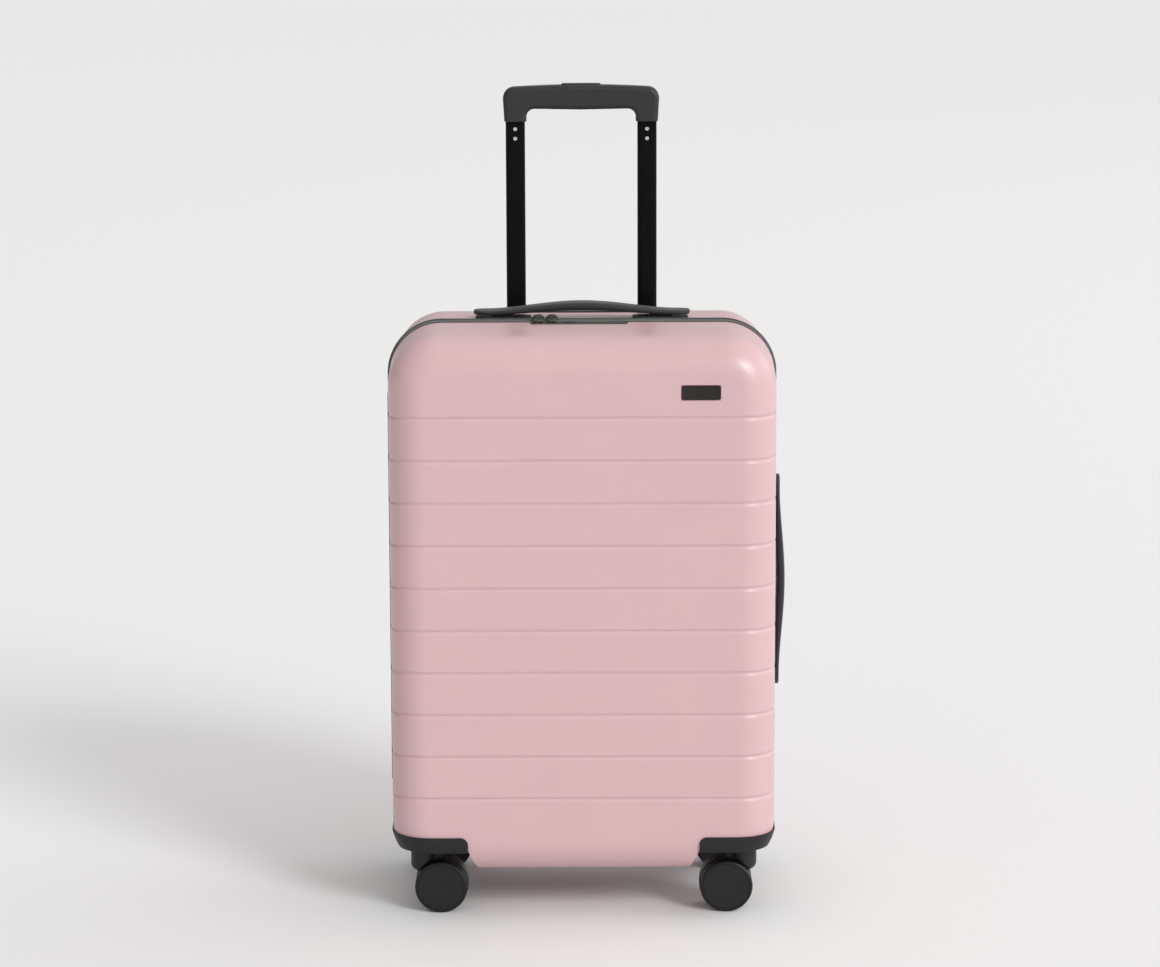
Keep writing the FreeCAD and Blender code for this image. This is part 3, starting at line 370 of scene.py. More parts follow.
# %% The form of one half
def half_form(grow, deep, near, side_z, across=25, turn=14, arc_steps=14):
    """Closed form of the front half, grown by a distance, with grooves of the given depth. Rings
    follow the side profile, a table of rows fills the flat face, and one face closes the back."""
    base, out = outline_loop(side_z, across, turn)
    profile = side_profile(grow, near, arc_steps=arc_steps)
    dent = groove_depth(base[:, 1], deep) * (np.abs(out[:, 0]) > 0.999)
    inset, depth, slope = (profile[:, k][:, None] for k in range(3))
    inset = inset + dent[None, :] * np.cos(slope)
    depth = depth - dent[None, :] * np.sin(slope)
    flat = base[None] - inset[..., None] * out[None]
    ring = np.stack([flat[..., 0], -depth, flat[..., 1]], -1)
    rows, count = ring.shape[:2]
    last = (rows - 1) * count
    rungs = 2 * turn + len(side_z)
    left = last + count - 1 - np.arange(rungs)
    right = last + across + np.arange(rungs)
    points = ring.reshape(-1, 3)
    share = np.linspace(0, 1, across)[1:-1]
    a, b = points[left][:, None], points[right][:, None]
    inner = a + (b - a) * share[None, :, None]
    table = np.empty((rungs + 2, across), int)
    table[0] = last + np.arange(across)
    table[-1] = (last + across + rungs + np.arange(across))[::-1]
    table[1:-1, 0], table[1:-1, -1] = left, right
    table[1:-1, 1:-1] = len(points) + np.arange(rungs * (across - 2)).reshape(rungs, -1)
    quads = np.stack([table[:-1, :-1], table[:-1, 1:], table[1:, 1:], table[1:, :-1]], -1)
    faces = grid_faces(rows, count, wrap_cols=True) + quads.reshape(-1, 4).tolist()
    faces.append(list(range(count))[::-1])
    return np.concatenate([points, inner.reshape(-1, 3)]), faces


def turned_to(side, points, faces):
    """The same form mirrored into the rear half (side 1), or left in the front half (side -1)."""
    if side < 0:
        return points, faces
    return points * np.array([1, -1, 1]), [face[::-1] for face in faces]


GROOVED = heights(BOTTOM + CORNER, TOP - CORNER)
PLAIN = np.linspace(BOTTOM + CORNER, TOP - CORNER, 12)
print("rows along a grooved side:", len(GROOVED), "and along a plain one:", len(PLAIN))

# %% [markdown]
# ## Wheel wells and openings
# A well is a block taken out of each lower corner. Its inner side slopes, and its inner corner is
# rounded, so it is a plan outline whose x shifts with height. The shell has the same wall
# thickness there as elsewhere, because the inside form keeps clear of a larger block. The openings
# for the cup, the lock and the badge are plain rounded blocks.


# %% Cutters
def prism(outline, low, high, shift=0.0):
    """A block over a closed plan outline; its x moves by shift from low to high."""
    n = len(outline)
    p = np.concatenate([np.c_[outline, np.full(n, low)],
                        np.c_[outline + [shift, 0], np.full(n, high)]])
    return p, grid_faces(2, n, wrap_cols=True) + [list(range(n))[::-1], list(range(n, 2 * n))]


def rounded_plan(width, depth, radius, centre=(0, 0), turn=7):
    """A rounded rectangle, anticlockwise."""
    q = np.linspace(0, math.pi / 2, turn)
    parts = []
    for k, (sx, sy) in enumerate(((1, 1), (-1, 1), (-1, -1), (1, -1))):
        c = np.array([sx * (width / 2 - radius), sy * (depth / 2 - radius)])
        at = q + k * math.pi / 2
        parts.append(c + radius * np.stack([np.cos(at), np.sin(at)], 1))
    return np.concatenate(parts) + np.array(centre)


def well_block(grow, side_x):
    """One front wheel well, grown inwards: rounded at its inner corner, sloping inner side."""
    ceiling, radius = 2 * WHEEL_R + WELL_HEADROOM + grow, WELL_RADIUS + grow
    x, back, low = WHEEL_X - WELL_INBOARD - grow, -(DEPTH - WELL_REACH) + grow, BOTTOM - 20
    past_side, past_face = 260.0, -160.0
    drop = WELL_SLOPE * (ceiling - low)
    q = np.linspace(math.pi / 2, math.pi, 9)
    arc = np.array([x + radius, back - radius]) + radius * np.stack([np.cos(q), np.sin(q)], 1)
    outer = [[x, past_face], [past_side, past_face], [past_side, back]]
    plan = np.concatenate([arc, outer]) - [drop, 0]
    p, f = prism(plan, low, ceiling, drop)
    if side_x < 0:
        return p * np.array([-1, 1, 1]), [face[::-1] for face in f]
    return p, f


# %% Build both shells
def shell(side, openings):
    """One shell: outside form less its wells and openings, less an inside form that keeps the
    thickness of the wall, in the wells too."""
    outside = half_form(0, 1.2, RIM, GROOVED, across=31, turn=18, arc_steps=18)
    inside = half_form(-WALL, 0, -5.0, PLAIN, across=13, turn=10, arc_steps=9)
    kept = mesh_object("kept", *turned_to(side, *inside))
    inner_wells = [mesh_object("cutter", *turned_to(side, *well_block(WALL, s))) for s in (-1, 1)]
    cut(kept, inner_wells)
    settle(kept)
    name = "front_moulded_shell" if side < 0 else "rear_moulded_shell"
    made = mesh_object(name, *turned_to(side, *outside))
    wells = [turned_to(side, *well_block(0, s)) for s in (-1, 1)]
    tools = [mesh_object("cutter", *c) for c in wells + openings] + [kept]
    cut(made, tools)
    settle(made, 32)
    for tool in inner_wells + tools:
        bpy.data.objects.remove(tool)
    return made


# Openings for the lock, the badge and the cup: width, depth, corner radius and middle, then the
# heights they span.
lock_hole = prism(rounded_plan(90.5, 10.3, 1.2, (-2.5, -18.2)), 530, 580)
badge_hole = prism(rounded_plan(37.0, 6.0, 0.8, (BADGE_X, -(DEPTH + 2.2))), BADGE_Z - 7.2,
                   BADGE_Z + 7.2)
cup_hole = prism(rounded_plan(159.4, 29.4, 7.0, (0, TUBE_Y)), CUP_FLOOR, 600)
front_shell = shell(-1, [lock_hole, badge_hole])
rear_shell = shell(1, [cup_hole])
for piece, node in ((front_shell, "front_shell"), (rear_shell, "rear_shell")):
    dress(satin_polycarbonate, "shell", piece)
    stands_for(piece, node)
print("shell faces:", len(front_shell.data.polygons), len(rear_shell.data.polygons))

# %% [markdown]
# ## Cloth and rubber
# A weave is threads of one width passing over and under like a chequer, so one pattern of waves
# and a chequer gives its height, and the same pattern paints shade into the colour of the hollows
# between the threads and a little painted light on their crests. It reads the piece's own map in
# metres, so that it follows the cloth round a bend. Real threads are a few tenths of a millimetre
# wide, too fine to show, so they are drawn 0.6 to 1.3 mm wide.


# %% Woven finishes
def woven(name, colour, thread, depth, rib=1.0, roughness=0.85, edge_light=0.25, **sockets):
    """A plain weave, sizes in millimetres. rib stretches the threads along the cloth."""
    cloth = {"Roughness": roughness, "Sheen Weight": edge_light, "Sheen Roughness": 0.5}
    material, tree, shader = plain(name, {**cloth, **sockets})
    flat = add(tree, "Mapping", {"Vector": add(tree, "UVMap", uv_map="cloth").outputs[0],
                                 "Scale": (1000 / thread / rib, 1000 / thread, 1.0)})
    cells = add(tree, "TexChecker", {"Vector": flat.outputs[0], "Scale": 1.0,
                                     "Color1": (1, 1, 1, 1), "Color2": (0, 0, 0, 1)})
    # At scale 1 the bands repeat every pi / 10, so this scale gives one band to a thread.
    along, across = (add(tree, "TexWave", {"Vector": flat.outputs[0], "Scale": math.pi / 10},
                         bands_direction=axis) for axis in "XY")
    weave = add(tree, "MixRGB", {"Fac": cells.outputs["Fac"], "Color1": along.outputs["Color"],
                                 "Color2": across.outputs["Color"]})
    place = add(tree, "TexCoord").outputs["Object"]
    cloud = add(tree, "TexNoise", {"Vector": place, "Scale": 30.0, "Detail": 3.0})
    uneven = add(tree, "MapRange", {"Value": cloud.outputs["Fac"], "From Min": 0.3, "From Max": 0.7,
                                    "To Min": 0.9, "To Max": 1.1})
    # Painted shade and light: the colour falls to 0.62 in the hollows between threads and rises to
    # 1.15 on their crests.
    shade = add(tree, "MapRange", {"Value": weave.outputs[0], "To Min": 0.62, "To Max": 1.15})
    both = add(tree, "Math", {0: uneven.outputs[0], 1: shade.outputs[0]}, operation="MULTIPLY")
    base = add(tree, "VectorMath", {0: srgb(colour)[:3], "Scale": both.outputs[0]},
               operation="SCALE")
    tree.links.new(base.outputs[0], shader.inputs["Base Color"])
    bump = add(tree, "Bump", {"Height": weave.outputs[0], "Strength": 0.8,
                              "Distance": depth / 1000})
    tree.links.new(bump.outputs[0], shader.inputs["Normal"])
    return material


soft_rubber = finish("soft_touch_elastomer", "272728", 0.5, grain=0.45, depth=0.012, mottle=0.05,
                     wander=0.05, IOR=1.5, Specular_IOR_Level=0.4, Sheen_Weight=0.08,
                     Sheen_Roughness=0.5)
polyurethane = finish("moulded_polyurethane", "151516", 0.44, grain=0.6, depth=0.012, IOR=1.5,
                      Specular_IOR_Level=0.35)
zip_weave = woven("woven_polyester_zip_tape", "3C3E3B", 0.7, 0.12, rib=1.6)
coil_nylon = finish("coiled_nylon_monofilament", "2A2B2A", 0.38, grain=0.4, depth=0.004, IOR=1.53)
belt_weave = woven("woven_nylon_webbing", "2C2C2E", 1.3, 0.3, rib=1.5)
lining_weave = woven("woven_polyester_lining", "4B4B4E", 0.6, 0.07, roughness=0.7, edge_light=0.3)
pocket_weave = woven("woven_mesh_pocket", "3A3A3D", 1.2, 0.25, roughness=0.75)
piping_weave = woven("woven_cotton_piping", "262628", 0.6, 0.1)
print("materials so far:", len(bpy.data.materials))

# %% [markdown]
# ## Carry handles
# Each handle is one soft moulded strap, nearly twice as thick in the middle as near its rounded
# ends, with two legs that slide in sleeves through the shell. A section like a flattened
# superellipse is carried along the strap, and both its lower and its upper line rise by a cosine
# bell, so it swells without a crease. The same strap lies on the top and on the right side.


# %% Build the carry handles
def strap_and_legs(arch, steps=121, around=36):
    """Strap along x with its outer side up: half width and height follow the ends' half circles,
    and the middle rises by a bell, ((1 + cos(pi x / knee)) / 2) to the power 0.86."""
    half, wide, thin, swell, foot, knee = 103.5, 12.5, 4.6, 3.4, 3.2, 89.5
    cap, blunt, leg_foot, leg_head = 12.0, 2.4, -13.3, 5.2
    x = half * np.sin(np.linspace(-math.pi / 2, math.pi / 2, steps))
    bell = ((1 + np.cos(math.pi * np.clip(np.abs(x) / knee, 0, 1))) / 2) ** 0.86
    end = np.clip((np.abs(x) - half + cap) / cap, 0, 1)
    tip = np.clip((np.abs(x) - half + blunt) / blunt, 0, 1)
    low, high = foot + arch * bell, foot + thin + (arch + swell) * bell
    half_w = wide - cap + cap * np.sqrt(np.clip(1 - end ** 2, 0, 1))
    half_h = (high - low) / 2 * (0.25 + 0.75 * np.sqrt(1 - tip ** 2))
    c, s = circle(around)
    across = np.sign(c) * np.abs(c) ** 0.5
    up = np.sign(s) * np.abs(s) ** 0.5
    crown = 0.35 * (1 - across ** 2) * (up > 0)
    mid = (low + high) / 2
    ring = np.stack([half_w[:, None] * across, mid[:, None] + half_h[:, None] * up + crown], -1)
    zero = np.zeros(steps)
    line = np.stack([x, zero, zero], 1)
    toward = np.broadcast_to([0.0, 1.0, 0.0], line.shape)
    above = np.broadcast_to([0.0, 0.0, 1.0], line.shape)
    parts = [swept(line, toward, above, ring)]
    for place in (-LEG_X, LEG_X):
        parts.append(prism(rounded_plan(22.0, 12.0, 3.0, (place, 0)), leg_foot, leg_head))
        parts.append(prism(rounded_plan(26.0, 16.0, 3.0, (place, 0)), leg_foot, leg_foot + 2.0))
    return join(parts)


lean_in = HANDLE_Y * math.tan(LEAN)
points, faces = strap_and_legs(arch=4.2)
top_strap = mesh_object("top_carry_strap", points + [0, HANDLE_Y, TOP - lean_in], faces,
                        sharp=50, turn_out=True)
points, faces = strap_and_legs(arch=1.8)
points = points[:, [2, 1, 0]] * [1, 1, -1]
side_strap = mesh_object("side_carry_strap", points + [WIDTH / 2 - lean_in, HANDLE_Y, MIDDLE],
                         faces, sharp=50, turn_out=True)
for piece, node in ((top_strap, "top_handle"), (side_strap, "side_handle")):
    dress(soft_rubber, "handle_strap", piece)
    stands_for(piece, node)
print("strap rises to", round(max(v.co.z for v in top_strap.data.vertices) * 1000, 1), "mm")

# %% [markdown]
# ## Wheels
# A caster wheel is turned round its axle: a profile of radius and width goes once round. The face
# has a fine rim ring, the tread is rounded at both shoulders, and the side towards the yoke is
# hollowed. All eight are the same profile at eight places.


# %% Build the wheels
def wheel(face_y, inward, x, turns=96):
    """One wheel: profile points (radius, distance in from its face) turned round an axle along y.
    The profile ends in a shallow hole for the axle."""
    outer = [(0.0, 0.5), (9.0, 0.45), (17.0, 0.2), (21.0, 0.0), (21.7, 0.0), (21.8, 0.55),
             (22.35, 0.55), (22.45, 0.0), (23.0, 0.05)]
    q, r = np.linspace(0, math.pi / 2, 7), 2.2
    rim, width = WHEEL_R - r, WHEEL_WIDE - r
    shoulder = [(rim + r * math.sin(t), r - r * math.cos(t)) for t in q]
    far = [(rim + r * math.cos(t), width + r * math.sin(t)) for t in q]
    inner = [(20.0, 11.5), (15.4, 11.5), (15.0, 11.1), (15.0, 9.2), (5.6, 9.2), (5.2, 9.6),
             (5.2, 11.3), (2.45, 11.3), (2.45, 10.5)]
    profile = np.array(outer + shoulder + far + inner)
    c, s = circle(turns)
    depth = np.broadcast_to(face_y + inward * profile[:, 1:], (len(profile), turns))
    ring = np.stack([x + profile[:, :1] * c, depth, WHEEL_R + profile[:, :1] * s], -1)
    faces = grid_faces(len(profile), turns, wrap_cols=True)
    points = ring.reshape(-1, 3)
    points[:turns] = [x, face_y + inward * profile[0, 1], WHEEL_R]
    last = (len(profile) - 1) * turns
    faces.append(list(range(last, last + turns)))
    return points, faces


for half_name, depth_sign in (("front", -1), ("rear", 1)):
    for side_name, side_sign in (("left", -1), ("right", 1)):
        for letter, step in (("a", 1), ("b", -1)):
            node = f"caster_{half_name}_{side_name}_wheel_{letter}"
            face = depth_sign * (CASTER_Y + step * (WHEEL_GAP / 2 + WHEEL_WIDE))
            points, faces = wheel(face, -depth_sign * step, side_sign * WHEEL_X)
            piece = mesh_object(node + "_turned", points, faces, sharp=40)
            work = bmesh.new()
            work.from_mesh(piece.data)
            bmesh.ops.remove_doubles(work, verts=work.verts, dist=1e-6)
            bmesh.ops.recalc_face_normals(work, faces=work.faces)
            work.to_mesh(piece.data)
            work.free()
            dress(polyurethane, "wheel", piece)
            stands_for(piece, node)
print("wheels made: 8, radius", WHEEL_R, "mm")

# %% [markdown]
# ## Zip
# The zip runs round the seam: a woven tape 10 mm wide is sewn to each half, and a coil of nylon
# monofilament stands at its edge. The seam's outline is walked by distance, starting in the middle
# of the left side, so a coil can be given its real pitch. It stops where the hinge strip is sewn.


# %% Walk along the seam
def seam(distance):
    """Point (x, z), direction out, and the whole length. Distances start at the left middle."""
    a, side_count, turn = HEIGHT / 2 - CORNER, 61, 48
    side_z = np.linspace(MIDDLE - a, MIDDLE + a, side_count)
    base, out = outline_loop(side_z, across=41, turn=turn)
    first = len(base) - turn - (side_count // 2 + 1)
    base, out = (np.roll(v, -first, axis=0) for v in (base, out))
    base, out = (np.concatenate([v, v[:1]]) for v in (base, out))
    walked = walk(base)
    at = np.asarray(distance) % walked[-1]
    pairs = [np.stack([np.interp(at, walked, v[:, k]) for k in range(2)], 1) for v in (base, out)]
    length = np.hypot(*pairs[1].T)[:, None]
    return pairs[0], pairs[1] / length, walked[-1]


def frame_along(distance, side):
    """Line on the shell's edge, direction away from the seam along the wall, and direction out."""
    base, out, _ = seam(distance)
    zero = np.zeros(len(base))
    line = np.stack([base[:, 0], zero, base[:, 1]], 1)
    above = np.stack([out[:, 0], zero, out[:, 1]], 1)
    return line, np.array([0.0, side, 0.0]) - above * math.tan(LEAN), above


ROUND = seam(np.array([0.0]))[2]
HINGE_HALF, COIL_PITCH = 190.0, 1.7
print("the seam is", round(ROUND), "mm round")


# %% Build tapes and coils
def tape_section():
    """Loop (across, height): a thin cloth that rises to the coil and dips along two seam lines."""
    near, far = 1.75, 11.9
    d = np.linspace(near, far, 42)
    top = 0.75 + 0.75 * np.exp(-((d - near) / 1.5) ** 2)
    for line in (5.6, 9.6):
        top = top - 0.3 * np.exp(-((d - line) / 0.35) ** 2)
    top = top * np.clip((far + 0.4 - d) / 0.6, 0, 1) ** 0.5
    return np.concatenate([np.stack([d, top], 1), np.stack([d[::-1], np.full(len(d), 0.12)], 1)])


def coil(side):
    """Tube beside the seam: its radius beats between 0.5 and 0.85 mm once in every pitch."""
    length = ROUND - 2 * HINGE_HALF
    count = int(length / COIL_PITCH) * 4
    at = HINGE_HALF + np.linspace(0, length, count + 1)
    beat = 0.5 + 0.35 * np.abs(np.sin(math.pi * np.arange(count + 1) / 4)) ** 0.7
    c, s = circle(8)
    ring = np.stack([0.95 + beat[:, None] * c, 1.35 + beat[:, None] * s], -1)
    return swept(*frame_along(at, side), ring)


around_case = np.linspace(0, ROUND, 281)
section = tape_section()
corners = grid_uv(around_case, np.append(section[:, 0], section[0, 0]))
for name, side in (("front", -1), ("rear", 1)):
    tape_mesh = swept(*frame_along(around_case[:-1], side), section, loop=True)
    tape = mesh_object(name + "_woven_zip_tape", *tape_mesh, sharp=60, uv=corners, turn_out=True)
    dress(zip_weave, "zip_tape", tape)
    stands_for(tape, name + "_zip_tape")
    teeth = mesh_object(name + "_zip_coil", *coil(side), sharp=70, turn_out=True)
    dress(coil_nylon, "zip_teeth", teeth)
    stands_for(teeth, name + "_zip_teeth")
print("coil turns on each half:", int((ROUND - 2 * HINGE_HALF) / COIL_PITCH))

# %% [markdown]
# ## Hinge strip
# Down the left side there are no teeth. A strip of the same woven cloth, sewn across the seam to
# both tapes, is the hinge. It is built in place and rides on neither half, so it does not bend
# with the case, though it has enough rows and columns to bend smoothly.

# %% Build the hinge strip
STRIP_HALF, STRIP_LONG, STRIP_ROWS = 10.5, 376.0, 95
strip_y = np.linspace(-STRIP_HALF, STRIP_HALF, 33)
ridge = 2.05 - np.abs(strip_y) * math.tan(LEAN) + 0.25 * np.exp(-(strip_y / 3.0) ** 2)
strip_top = ridge + 0.35 - 0.25 * (np.exp(-((np.abs(strip_y) - 8.3) / 0.4) ** 2))
strip_loop = np.concatenate([np.stack([strip_y, strip_top], 1),
                             np.stack([strip_y, ridge - 0.25], 1)[::-1]])
strip_z = np.linspace(MIDDLE - STRIP_LONG / 2, MIDDLE + STRIP_LONG / 2, STRIP_ROWS)
strip_line = np.stack([np.full(STRIP_ROWS, -WIDTH / 2), np.zeros(STRIP_ROWS), strip_z], 1)
strip_mesh = swept(strip_line, np.broadcast_to([0.0, 1.0, 0.0], strip_line.shape),
                   np.broadcast_to([-1.0, 0.0, 0.0], strip_line.shape), strip_loop)
strip_uv = grid_uv(strip_z, np.append(strip_loop[:, 0], strip_loop[0, 0]))
strip = mesh_object("woven_hinge_strip", *strip_mesh, sharp=60, uv=strip_uv, turn_out=True)
dress(zip_weave, "zip_tape", strip)
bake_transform(strip)
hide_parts("hinge_tape")
print("hinge strip:", 2 * STRIP_HALF, "by", STRIP_LONG, "mm")

# %% [markdown]
# ## Linings
# Each half is lined with thin woven polyester, sewn at the rim and hung against the wall, so it
# follows the inside form and softens its corners. It is made as the space inside the case: the
# half's form, less the covered wells, less the lock's room in the front, and less the room round
# tubes, cup and handle legs in the rear. That solid is remeshed into an even skin, relaxed until
# it looks like cloth, cut open at the rim, and wrinkled a little.


# %% Helpers for cloth made from a solid
PIPE_ROUND = 6.6    # round a tube of piping or binding


def box_map(made):
    """Maps each face in metres along the two axes that it faces least."""
    mesh = made.data
    count = len(mesh.polygons)
    normals, total = np.empty(count * 3, np.float32), np.empty(count, np.int32)
    mesh.polygons.foreach_get("normal", normals)
    mesh.polygons.foreach_get("loop_total", total)
    points = np.empty(len(mesh.vertices) * 3, np.float32)
    mesh.vertices.foreach_get("co", points)
    corner = np.empty(len(mesh.loops), np.int32)
    mesh.loops.foreach_get("vertex_index", corner)
    facing = np.abs(normals.reshape(-1, 3)).argmax(1)
    axes = np.array([[1, 2], [0, 2], [0, 1]])[np.repeat(facing, total)]
    place = points.reshape(-1, 3)[corner]
    layer = mesh.uv_layers.get("cloth") or mesh.uv_layers.new(name="cloth")
    layer.data.foreach_set("uv", np.take_along_axis(place, axes, 1).ravel())


def block(x0, x1, y0, y1, z0, z1):
    """A plain block, to cut with."""
    return prism(np.array([[x0, y0], [x1, y0], [x1, y1], [x0, y1]], float), z0, z1)


def wrinkled(made, deep):
    """Moves points along their normals by three crossing sines, in millimetres."""
    mesh = made.data
    count = len(mesh.vertices) * 3
    p, n = np.empty(count, np.float32), np.empty(count, np.float32)
    mesh.vertices.foreach_get("co", p)
    mesh.vertices.foreach_get("normal", n)
    p, n = p.reshape(-1, 3), n.reshape(-1, 3)
    x, y, z = (p * 1000).T
    wave = np.sin(x / 19 + z / 47) * np.sin(z / 31 - y / 23) + 0.6 * np.sin((x + z) / 11 + y / 9)
    mesh.vertices.foreach_set("co", (p + n * (deep / 1000 * wave / 1.6)[:, None]).ravel())
    mesh.update()


# %% Build both linings
def lining(side):
    """Skin of the space inside one half, cut open 6.5 mm from the seam."""
    cavity = half_form(-3.9, 0, 1.0, PLAIN, across=13, turn=10, arc_steps=9)
    cutters = [turned_to(side, *well_block(17.6, s)) for s in (-1, 1)]
    past_top, past_side, past_face, leg = 700, 260, 200, 15.9
    if side > 0:
        for s in (-1, 1):
            x = s * TUBE_X
            cutters.append(block(x - 16.6, x + 16.6, 78.2, past_face, 0, past_top))
        cutters += [block(-83.9, 83.9, 73.1, past_face, 522.6, past_top),
                    block(-83.9, 83.9, 78.2, past_face, 0, 81.4)]
        for s in (-1, 1):
            x, z = s * LEG_X, MIDDLE + s * LEG_X
            cutters += [block(x - leg, x + leg, 17.1, 38.9, 540.5, past_top),
                        block(167.5, past_side, 17.1, 38.9, z - leg, z + leg)]
    else:
        cutters.append(block(-51.5, 46.5, -27.5, -8.5, 541.0, past_top))
    name = "rear_cloth_lining" if side > 0 else "front_cloth_lining"
    made = mesh_object(name, *turned_to(side, *cavity))
    tools = [mesh_object("cutter", *c) for c in cutters]
    cut(made, tools)
    even = made.modifiers.new("even", "REMESH")
    even.mode, even.voxel_size = "VOXEL", 0.0035
    relax = made.modifiers.new("relax", "SMOOTH")
    relax.factor, relax.iterations = 0.5, 5
    settle(made, 180)
    for tool in tools:
        bpy.data.objects.remove(tool)
    work = bmesh.new()
    work.from_mesh(made.data)
    every = work.verts[:] + work.edges[:] + work.faces[:]
    bmesh.ops.bisect_plane(work, geom=every, plane_co=(0, side * 0.0065, 0),
                           plane_no=(0, -side, 0), clear_outer=True)
    bmesh.ops.reverse_faces(work, faces=work.faces)
    work.to_mesh(made.data)
    work.free()
    wrinkled(made, 0.45)
    thick = made.modifiers.new("thick", "SOLIDIFY")
    thick.thickness, thick.offset = 0.0007, 0.0
    settle(made, 180)
    box_map(made)
    dress(lining_weave, "lining", made)
    return made


def bound_edge(side, turns=280):
    """Flattened tube of cloth, 2.6 by 1.5 mm, along the cut edge: the seam's outline moved in by
    4.1 mm."""
    at = np.linspace(0, ROUND, turns + 1)
    c, s = circle(12)
    ring = np.stack([7.0 + 1.3 * c, -4.1 + 0.75 * s], 1)
    tube = swept(*frame_along(at[:-1], side), ring, loop=True)
    corners = grid_uv(at, np.linspace(0, PIPE_ROUND, 13))
    name = "rear_lining_binding" if side > 0 else "front_lining_binding"
    made = mesh_object(name, *tube, sharp=80, uv=corners, turn_out=True)
    dress(piping_weave, "lining", made)
    return made


for side, name, shell_piece, cut_area in ((1, "rear", rear_shell, 0.385),
                                          (-1, "front", front_shell, 0.334)):
    cloth = lining(side)
    edge = bound_edge(side)
    stands_for(cloth, name + "_lining")
    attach(edge, name + "_half")
    area = sum(f.area for f in cloth.data.polygons) / 2
    print(cloth.name, "has", round(area, 3), "square metres and", len(cloth.data.polygons), "faces")

# %% [markdown]
# ## Pocket in the lid
# A flat zipped pocket lies on the front lining. Its panel is a rounded rectangle whose cloth
# puckers a little along the piping that it is sewn to. A tube of piping runs round it, and a
# short zip crosses it near the top.


# %% Build the pocket panel
PANEL_X, PANEL_Z, PANEL_Y = 145.0, 165.0, -113.2
PANEL_PLAN = rounded_plan(2 * PANEL_X, 2 * PANEL_Z, 18.0, turn=22)


def panel(rings=34):
    """Outline rings shrinking to the middle, r from 1 to 0.02: height is 0.35 + 0.45 * (1 - r^6),
    plus 46 small puckers that fade from the edge, plus a slow sag."""
    plan = PANEL_PLAN
    n = len(plan)
    r = np.linspace(1.0, 0.02, rings)[:, None]
    turn_share = np.arange(n)[None, :] / n * 2 * math.pi
    pucker = 0.18 * np.sin(46 * turn_share) * np.exp(-(1 - r) * 9) * (r < 0.999)
    sag = 0.22 * np.sin(plan[:, 0][None] * r / 23 + 1) * np.sin(plan[:, 1][None] * r / 31)
    top = 0.35 + 0.45 * (1 - r ** 6) + pucker + sag * (1 - r ** 4)
    flat = plan[None] * r[..., None]
    front = np.stack([flat[..., 0], PANEL_Y + top, MIDDLE + flat[..., 1]], -1)
    behind = np.full(flat.shape[:2], PANEL_Y - 0.5)
    back = np.stack([flat[..., 0], behind, MIDDLE + flat[..., 1]], -1)
    both = np.concatenate([front[::-1], back])
    faces = grid_faces(2 * rings, n, wrap_cols=True)
    faces += [list(range(n)), list(range((2 * rings - 1) * n, 2 * rings * n))]
    return both.reshape(-1, 3), faces


pocket = mesh_object("lid_pocket_panel", *panel(), sharp=60, turn_out=True)
box_map(pocket)
dress(pocket_weave, "lining", pocket)
stands_for(pocket, "lid_pocket")

# %% Run piping round the panel
heading = np.roll(PANEL_PLAN, -1, 0) - np.roll(PANEL_PLAN, 1, 0)
heading = heading / np.hypot(*heading.T)[:, None]
level = np.zeros(len(heading))
pipe_line = np.stack([PANEL_PLAN[:, 0], level + PANEL_Y + 0.05, MIDDLE + PANEL_PLAN[:, 1]], 1)
outward = np.stack([heading[:, 1], level, -heading[:, 0]], 1)
toward = np.broadcast_to([0.0, 1.0, 0.0], pipe_line.shape)
pipe_mesh = swept(pipe_line, outward, toward, 1.05 * np.stack(circle(12), 1), loop=True)
pipe_walk = walk(np.vstack([PANEL_PLAN, PANEL_PLAN[:1]]))
piping = mesh_object("pocket_piping", *pipe_mesh, sharp=80,
                     uv=grid_uv(pipe_walk, np.linspace(0, PIPE_ROUND, 13)), turn_out=True)
dress(piping_weave, "lining", piping)
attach(piping, "front_half")

# %% Set a short zip across the panel
ZIP_COUNT = 471
zip_x = np.linspace(-118.0, 118.0, ZIP_COUNT)
level = np.zeros(ZIP_COUNT)
zip_line = np.stack([zip_x, level + PANEL_Y + 1.15, level + MIDDLE + 128.0], 1)
along_y = np.broadcast_to([0.0, 1.0, 0.0], zip_line.shape)
along_z = np.broadcast_to([0.0, 0.0, 1.0], zip_line.shape)
band = np.array([(-8.0, -0.5), (8.0, -0.5), (8.0, 0.05), (5.5, 0.2), (1.6, 0.2), (-1.6, 0.2),
                 (-5.5, 0.2), (-8.0, 0.05)])
band_mesh = swept(zip_line[::10], along_z[::10], along_y[::10], band)
zip_band = mesh_object("pocket_zip_tape", *band_mesh, sharp=60, turn_out=True,
                       uv=grid_uv(zip_x[::10], np.append(band[:, 0], band[0, 0])))
beat = 0.45 + 0.25 * np.abs(np.sin(math.pi * np.arange(ZIP_COUNT) / 4))
c, s = circle(8)
ring = np.stack([1.5 * beat[:, None] * c, 0.15 + 0.9 * beat[:, None] * s], -1)
coil_mesh = swept(zip_line, along_z, along_y, ring)
zip_coil = mesh_object("pocket_zip_coil", *coil_mesh, sharp=70, turn_out=True)
dress(zip_weave, "zip_tape", zip_band)
dress(coil_nylon, "zip_teeth", zip_coil)
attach(zip_band, "front_half")
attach(zip_coil, "front_half")
print("pocket panel:", 2 * PANEL_X, "by", 2 * PANEL_Z, "mm")

# %% [markdown]
# ## Packing straps
# Two webbing straps cross the rear half and clip into buckles in the middle. Each half strap is
# sewn to the lining's side, turns the corner and runs to the buckle with a slight sag. Webbing is
# a flat weave with thicker edges, so the section has a raised border and the path does the rest.


